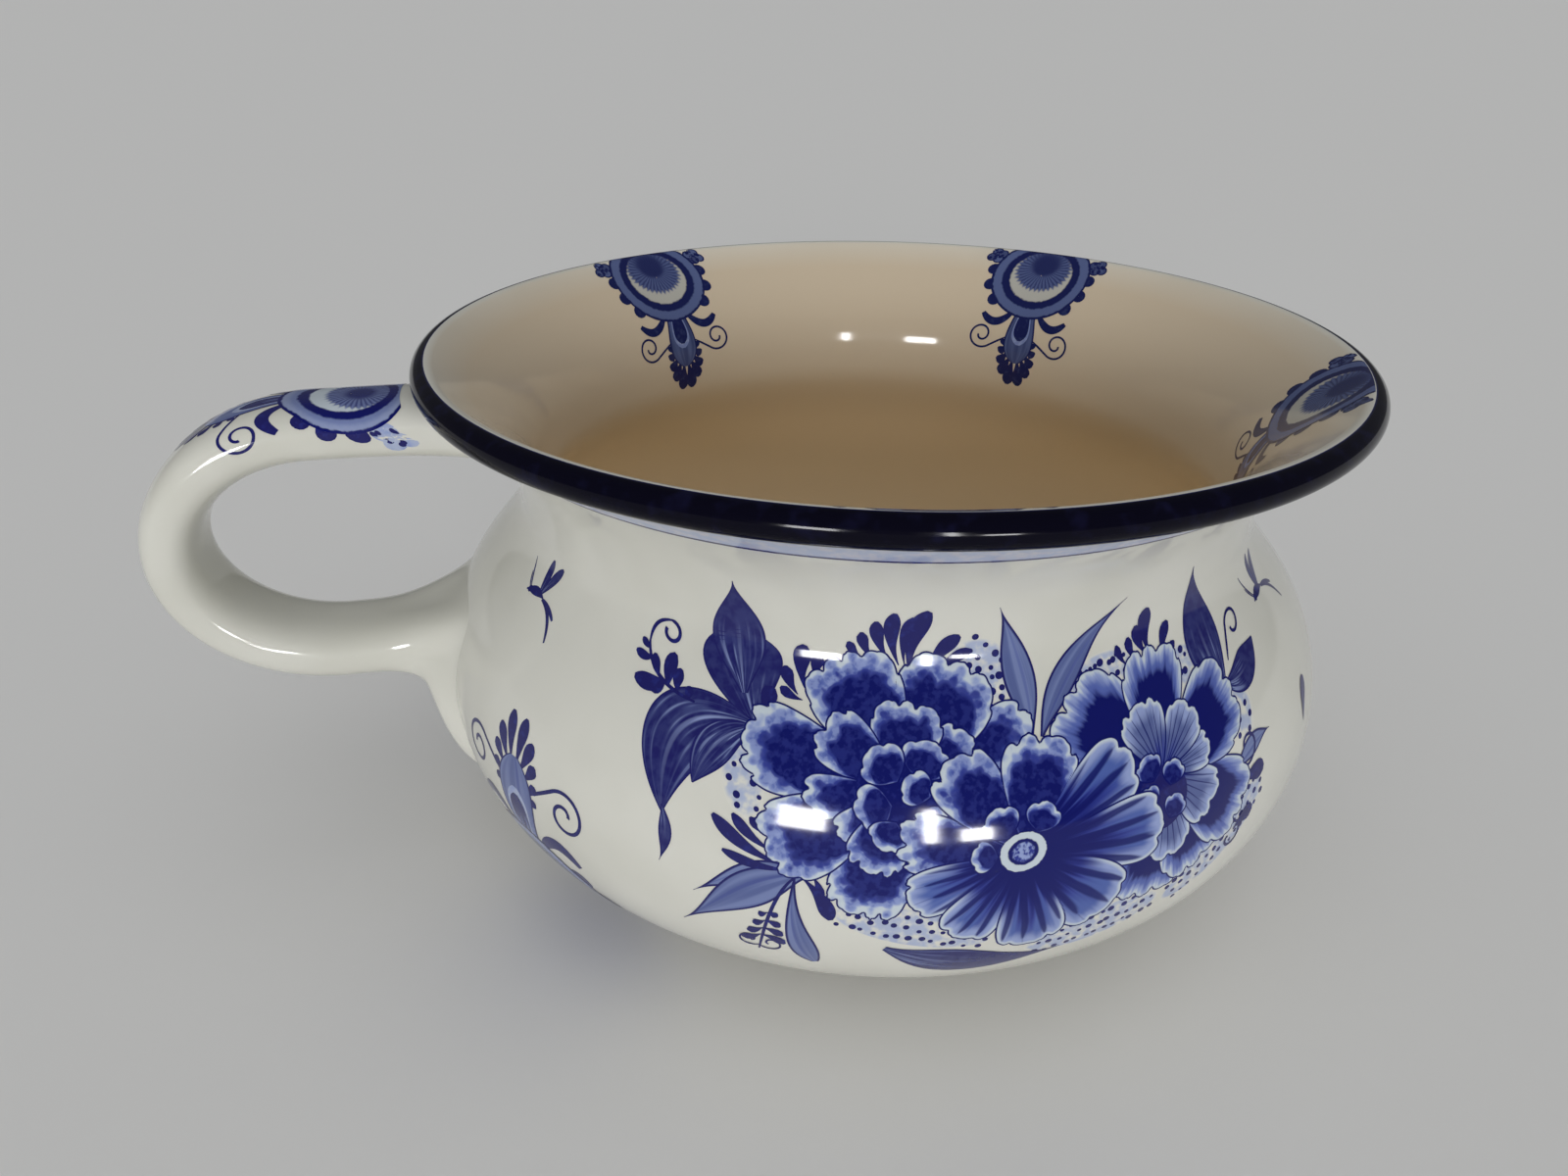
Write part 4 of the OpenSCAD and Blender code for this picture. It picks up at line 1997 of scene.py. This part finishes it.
@dataclass(frozen=True)
class Palmette:
    """Medallion with a feathered bud that hangs from it between two curls."""

    radius: float = 16.0
    cut: float = 10.0
    scale: float = 1.0
    head: Ink = Ink.MEDALLION
    corner: Ink = Ink.BLOT
    line: Ink = Ink.LINE
    bud: tuple[Ink, Ink, Ink] = (Ink.WASHED, Ink.BLOT, Ink.DARK)
    plump: float = 1.0
    curl_low: float = -6.2
    seed: int = 7
    jitter: float = 1.2
    dot: Span = (0.45, 0.7)
    bead: float = 2.3
    blot: float = 1.9

    def stroke(self, foot: Point, bend: Point, tip: Point, width: float,
               shape: LeafShape = LeafShape.DROP) -> Leaf:
        """One stroke, with heights measured from the medallion's lower edge.

        Args:
            foot: Where it starts.
            bend: What it bends towards.
            tip: Where it ends.
            width: Its half width.
            shape: How it widens.

        Returns:
            The stroke.
        """
        def at(point: Point) -> Point:
            """Place on the print."""
            return point[0] * self.scale, (point[1] - self.radius) * self.scale

        return Leaf(at(foot), at(bend), at(tip), width * self.scale, shape)

    def spot(self, x: float, y: float, radius: float) -> Disc:
        """One round spot, measured from the medallion's middle."""
        return Disc(x * self.scale, y * self.scale, radius * self.scale)

    def paint_head(self, brush: Brush) -> None:
        """Prints the stippled corners and the beads that the medallion half covers.

        Args:
            brush: What prints it.
        """
        draw = np.random.default_rng(self.seed)
        corners = [(side * (self.radius + out) * math.cos(turn),
                    (self.radius + out) * math.sin(turn))
                   for side in (-1, 1) for turn in (0.29, 0.43) for out in (1.3, 3.7)]
        brush.stroke(self.corner, *(self.spot(x, y, self.blot) for x, y in corners))
        brush.stroke(self.line, *(self.spot(x + draw.uniform(-self.jitter, self.jitter),
                                            y + draw.uniform(-self.jitter, self.jitter),
                                            draw.uniform(*self.dot)) for x, y in corners * 2))
        brush.stroke(self.line, *(self.spot(side * self.radius * math.cos(turn),
                                            self.radius * math.sin(turn), self.bead)
                                  for side in (-1, 1) for turn in (0.04, -0.34, -0.72)))

    def paint_tassel(self, brush: Brush) -> None:
        """Prints the drops that fan out round the bud's end, on both sides.

        Args:
            brush: What prints it.
        """
        brush.stroke(self.line, *(
            self.stroke((side * x, y), (side * (0.5 * x + 0.5 * head_x + 0.3), 0.5 * (y + head_y)),
                        (side * head_x, head_y), width * self.plump)
            for side in (-1, 1) for x, y, head_x, head_y, width in (
                (0.6, -13, 1.9, -22.2, 1.15), (1.6, -12.6, 4.7, -19, 1.15),
                (2.8, -11.6, 5.9, -15.4, 1.05), (3.4, -9.6, 6.2, -11.8, 0.9),
                (3.8, -7.4, 6.0, -8.8, 0.75))))

    def paint(self, brush: Brush) -> None:
        """Prints the palmette, its medallion's middle at the print's origin.

        Args:
            brush: What prints it.
        """
        scale = self.scale
        self.paint_head(brush)
        for side in (-1, 1):
            brush.stroke(
                self.line, self.stroke((side * 4.8, 1.6), (side * 9.8, -5.2), (side * 14.4, 0.6),
                                       1.4, LeafShape.STEM),
                Curl(side * 4.0 * scale, (self.curl_low - self.radius) * scale, -90 + side * 58,
                     4.5 * scale, side * 500, 0.34 * scale, 0.8, lead=7.4 * scale))
        self.paint_tassel(brush)
        for ink, low, width in zip(self.bud, (-14.8, -8.8, -7.4), (4.8, 2.8, 2.3)):
            brush.stroke(ink, self.stroke((0, 1), (0, 0.5 * low), (0, low), width, LeafShape.BUD))
        brush.stroke(self.head, Disc(0, 0, self.radius * scale, cut=self.cut * scale,
                                     polar=False))


@dataclass(frozen=True)
class Insect:
    """Small flying insect with two wings, feelers and a trailing tail."""

    def paint(self, brush: Brush) -> None:
        """Prints the insect, its body at the print's origin.

        Args:
            brush: What prints it.
        """
        lobe, stem, lance = LeafShape.LOBE, LeafShape.STEM, LeafShape.LANCE
        brush.stroke(Ink.DARK, Leaf((2.4, 0.6), (1.8, 5), (2.8, 9.4), 1.2, lobe))
        brush.stroke(Ink.DARK, Leaf((3, 0.6), (4.6, 5), (7.6, 8.8), 1.3, lobe))
        brush.stroke(Ink.LINE, Leaf((-3.6, -0.8), (1, 1.4), (6, -0.2), 1.1, lance),
                     Disc(-2.2, -0.2, 0.9),
                     Leaf((4.6, -0.2), (10.8, -1), (14.2, -7.8), 0.5, stem),
                     Leaf((4.8, 0), (9, -0.4), (12.4, -2.6), 0.55, stem),
                     Leaf((-2.4, 0.4), (-5, 3), (-6.4, 6.8), 0.26, stem),
                     Leaf((-2.8, 0.2), (-4.4, 1.4), (-5.4, 3.4), 0.24, stem))


@dataclass(frozen=True)
class Sprig:
    """Small sprig for the pot's back: one flower, leaves and drops."""

    def paint(self, brush: Brush) -> None:
        """Prints the sprig round the print's origin.

        Args:
            brush: What prints it.
        """
        Stipple(0, -19, 11, 3, 0, 26, 23).paint(brush)
        brush.stroke(Ink.DARK, Leaf((-12, 8), (-26, 16), (-34, 32), 7.0, LeafShape.BROAD),
                     Leaf((12, 10), (24, 20), (30, 38), 7.0, LeafShape.BROAD))
        brush.stroke(Ink.WASHED, Leaf((-10, -8), (-24, -10), (-36, -22), 4.2),
                     Leaf((10, -8), (22, -12), (34, -10), 4.2))
        brush.stroke(Ink.LINE, Curl(-14, 6, 150, 6.0, -420, lead=6.0),
                     Curl(16, -2, 20, 6.0, 420, lead=6.0),
                     *drops(*((x, 18, x * 1.7, 32 - abs(x) * 0.5, 1.8)
                              for x in (-9, -5, -1, 3, 7))))
        flower = Flower(0, 0, 0.82)
        flower.ring(brush, Ink.DABBED, ((90, 28, 40, 5), (150, 28, 36, 4), (30, 28, 36, 4)),
                    band=4.6, depth=0.09)
        flower.ring(brush, Ink.FINGERED, ((200, 28, 30, 3), (-20, 28, 30, 3), (240, 28, 28, 3),
                                          (-60, 28, 28, 3), (-90, 28, 28, 3)), depth=0.05)
        flower.buds(brush, ((-4, 4, 120, 7), (4, 4, 60, 7)), 2.0)
        brush.stroke(Ink.EYE, Disc(0, 0, 4.6, 0.86, 0))


@dataclass
class Prints:
    """All the blue painting on the pot; bearings in degrees, lengths in mm along the wall."""

    form: PotForm
    handle: Handle
    bouquet_bearing: float = -98.0
    bouquet_arc: float = 100.0
    back_bearing: float = 82.0
    palmette_bearings: tuple[float, ...] = (117.6, 44.5, -31.0, -101.5)
    palmette_drop: float = 10.7
    foot_palmette_bearings: tuple[float, ...] = (-149.6, 149.6)
    foot_palmette_arc: float = 51.5
    foot_palmette_scale: float = 1.43
    insect_bearings: tuple[float, ...] = (-158.9, -44.0, 30.0, 140.0)
    insect_arc: float = 130.5
    line_arc: float = 167.6
    line_half: float = 0.42
    line_rows: int = 12
    line_turns: int = 289
    line_inside: float = 9.0
    wash_gap: float = 2.0
    handle_run: float = 29.5

    def paint_outside(self) -> None:
        """Prints the bouquet, the back's sprig, the insects and the palmettes near the foot."""
        outside = self.form.outside()
        sheet = PrintSheet("outside_print")
        Bouquet().paint(Brush(sheet, TurnedSide(outside, self.bouquet_bearing,
                                                self.bouquet_arc)))
        Sprig().paint(Brush(sheet, TurnedSide(outside, self.back_bearing, self.bouquet_arc)))
        for bearing in self.insect_bearings:
            Insect().paint(Brush(sheet, TurnedSide(outside, bearing, self.insect_arc)))
        for bearing in self.foot_palmette_bearings:
            side = TurnedSide(outside, bearing, self.foot_palmette_arc, upside_down=True)
            palmette = Palmette(cut=15.0, scale=self.foot_palmette_scale, curl_low=-9.5)
            palmette.paint(Brush(sheet, side))
        sheet.build()

    def paint_mouth(self) -> None:
        """Prints the palmettes that hang from the rim inside the flared mouth."""
        mouth = self.form.mouth()
        sheet = PrintSheet("mouth_print")
        # Most of its inks are the darker, greyer copies: painted shade inside the mouth.
        palmette = Palmette(radius=16.5, cut=self.palmette_drop - 0.2, head=Ink.MOUTH,
                            corner=Ink.MOUTH_LEAF, line=Ink.MOUTH_LINE,
                            bud=(Ink.MOUTH_LEAF, Ink.MOUTH_BLOT, Ink.MOUTH_LINE), plump=1.5)
        for bearing in self.palmette_bearings:
            side = TurnedSide(mouth, bearing, mouth.arcs[-1] - self.palmette_drop, inner=True)
            palmette.paint(Brush(sheet, side))
        sheet.build()

    def paint_handle(self) -> None:
        """Prints the palmette on the strap, its medallion against the rim."""
        sheet = PrintSheet("handle_print")
        Palmette(cut=13.0).paint(Brush(sheet, StrapSide(self.handle, self.handle_run)))
        sheet.build()

    def paint_lines(self) -> None:
        """Prints the wash and the thin line under the rim."""
        outside = self.form.outside()
        wash_high = outside.arcs[-1] - self.wash_gap
        for name, low, high, ink in (("rim_wash", self.line_arc, wash_high, Ink.TINT),
                                     ("rim_line", self.line_arc - self.line_half,
                                      self.line_arc + self.line_half, Ink.LINE)):
            arc, angle = np.meshgrid(np.linspace(low, high, self.line_rows),
                                     np.linspace(0, 2 * math.pi, self.line_turns), indexing="ij")
            flat = np.stack([angle * outside.at(arc)[0], arc], -1)
            edge = np.full(arc.shape, self.line_inside)
            sheet = PrintSheet(name)
            sheet.lay(Patch(flat, arc * 0, arc * 0, edge), ink,
                      TurnedSide(outside, 0.0, 0.0), 0 if ink is Ink.TINT else 1)
            sheet.build()

    def build(self) -> None:
        """Prints everything."""
        self.paint_outside()
        self.paint_mouth()
        self.paint_handle()
        self.paint_lines()


@dataclass(frozen=True)
class Lamp:
    """A lamp that points at the pot, placed in m: it lights it, or only shows in the glaze."""

    name: str
    at: Point3
    level: float
    mirrored: bool = False
    target: Point3 = (0.0, 0.0, 0.07)

    def light(self) -> bpy.types.Light:
        """The light that the lamp holds."""
        raise NotImplementedError

    def hang(self) -> None:
        """Hangs the lamp."""
        data = self.light()
        data.energy = self.level
        made = in_scene(self.name, data)
        made.location = self.at
        ahead = Vector(self.target) - made.location
        made.rotation_euler = ahead.to_track_quat("-Z", "Y").to_euler()
        made.visible_glossy = self.mirrored
        made.visible_diffuse = not self.mirrored


@dataclass(frozen=True)
class Sun(Lamp):
    """Even soft light; its spread is how wide it looks from the pot, in degrees."""

    spread: float = 30.0

    def light(self) -> bpy.types.Light:
        """A light from far away.

        Returns:
            The light.
        """
        data = bpy.data.lights.new(self.name, "SUN")
        data.angle = math.radians(self.spread)
        return data


@dataclass(frozen=True)
class Pane(Lamp):
    """One pane of the window that the glaze mirrors, its width and height in m."""

    mirrored: bool = True
    size: Point = (0.5, 0.5)

    def light(self) -> bpy.types.Light:
        """A flat light of the pane's size.

        Returns:
            The light.
        """
        data = bpy.data.lights.new(self.name, "AREA")
        data.shape = "RECTANGLE"
        data.size, data.size_y = self.size
        return data


@dataclass
class Studio:
    """Pale floor, soft light and the camera."""

    camera_at: Point3 = (-87.7, -279.6, 219.9)
    look_down: float = math.radians(28.01)
    look_right: float = math.radians(12.3)
    roll: float = math.radians(0.52)
    focal_px: float = 1150.0
    image_px: float = 1600.0
    sensor: float = 36.0
    floor_half: float = 60.0
    floor_colour: Colour = srgb(232, 231, 229)
    floor_roughness: float = 0.9
    sky_colour: Colour = srgb(240, 242, 244)
    sky_level: float = 0.45
    mirrored_level: float = 0.1
    seen_level: float = 0.56
    lamps: tuple[Lamp, ...] = (
        Sun("sun", (0.2, -0.4, 2.0), 0.3, spread=60.0),
        Sun("front", (-0.5, -1.7, 0.22), 2.05, spread=30.0),
        Pane("window_left", (-1.62, -2.75, 0.54), 65.0, size=(0.6, 0.65)),
        Pane("window_middle", (-0.12, -3.08, 0.49), 30.0, size=(0.15, 1.0)),
        Pane("window_right", (0.42, -3.08, 0.19), 25.0, size=(0.375, 0.35)))

    def build_camera(self) -> None:
        """Sets the camera where the photograph was taken from."""
        data = bpy.data.cameras.new("camera")
        data.sensor_width = self.sensor
        data.lens = self.focal_px / self.image_px * self.sensor
        made = in_scene("camera", data)
        side, down = self.look_right, self.look_down
        ahead = Vector((math.sin(side) * math.cos(down), math.cos(side) * math.cos(down),
                        -math.sin(down)))
        level = Vector((math.cos(side), -math.sin(side), 0.0))
        upright = level.cross(ahead)
        right = level * math.cos(self.roll) + upright * math.sin(self.roll)
        up = upright * math.cos(self.roll) - level * math.sin(self.roll)
        axes = Matrix((right, up, -ahead)).transposed().to_4x4()
        made.matrix_world = Matrix.Translation(Vector(self.camera_at) * MM) @ axes
        bpy.context.scene.camera = made

    def build_floor(self) -> None:
        """Lays the pale floor."""
        half = self.floor_half
        mesh = bpy.data.meshes.new("floor")
        mesh.from_pydata([(-half, -half, 0), (half, -half, 0), (half, half, 0), (-half, half, 0)],
                         [], [(0, 1, 2, 3)])
        made = in_scene("floor", mesh)
        material, graph = new_material("pale_floor")
        graph.close({"Base Color": self.floor_colour, "Roughness": self.floor_roughness,
                     "Specular IOR Level": 0.0})
        mesh.materials.append(material)

    def build_sky(self) -> None:
        """Sets the light from all round: pale to the camera, dim in the glaze's reflections."""
        world = bpy.data.worlds.new("room")
        world.use_nodes = True
        graph = Graph(world.node_tree)
        path = graph.add("ShaderNodeLightPath", {}, {})
        level: Any = self.sky_level
        for ray, share in (("Is Camera Ray", self.seen_level),
                           ("Is Glossy Ray", self.mirrored_level)):
            level = graph.add("ShaderNodeMix", {},
                              {0: path.outputs[ray], 2: level, 3: share}).outputs[0]
        sky = graph.add("ShaderNodeBackground", {},
                        {"Color": self.sky_colour, "Strength": level})
        graph.add("ShaderNodeOutputWorld", {}, {"Surface": sky.outputs[0]})
        bpy.context.scene.world = world

    def build(self) -> None:
        """Sets up the studio."""
        self.build_camera()
        self.build_floor()
        self.build_sky()
        for lamp in self.lamps:
            lamp.hang()
        bpy.context.scene.view_settings.view_transform = "Standard"


def main() -> None:
    """Builds the pot's looks."""
    logging.basicConfig(level=logging.INFO, format="%(name)s: %(message)s")
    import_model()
    form = PotForm.from_frame()
    glaze = WhiteGlaze().material()
    Studio().build()
    Bowl(form, glaze).build()
    handle = Handle.from_frame(form, glaze)
    handle.build()
    Prints(form, handle).build()


if __name__ == "__main__":
    main()
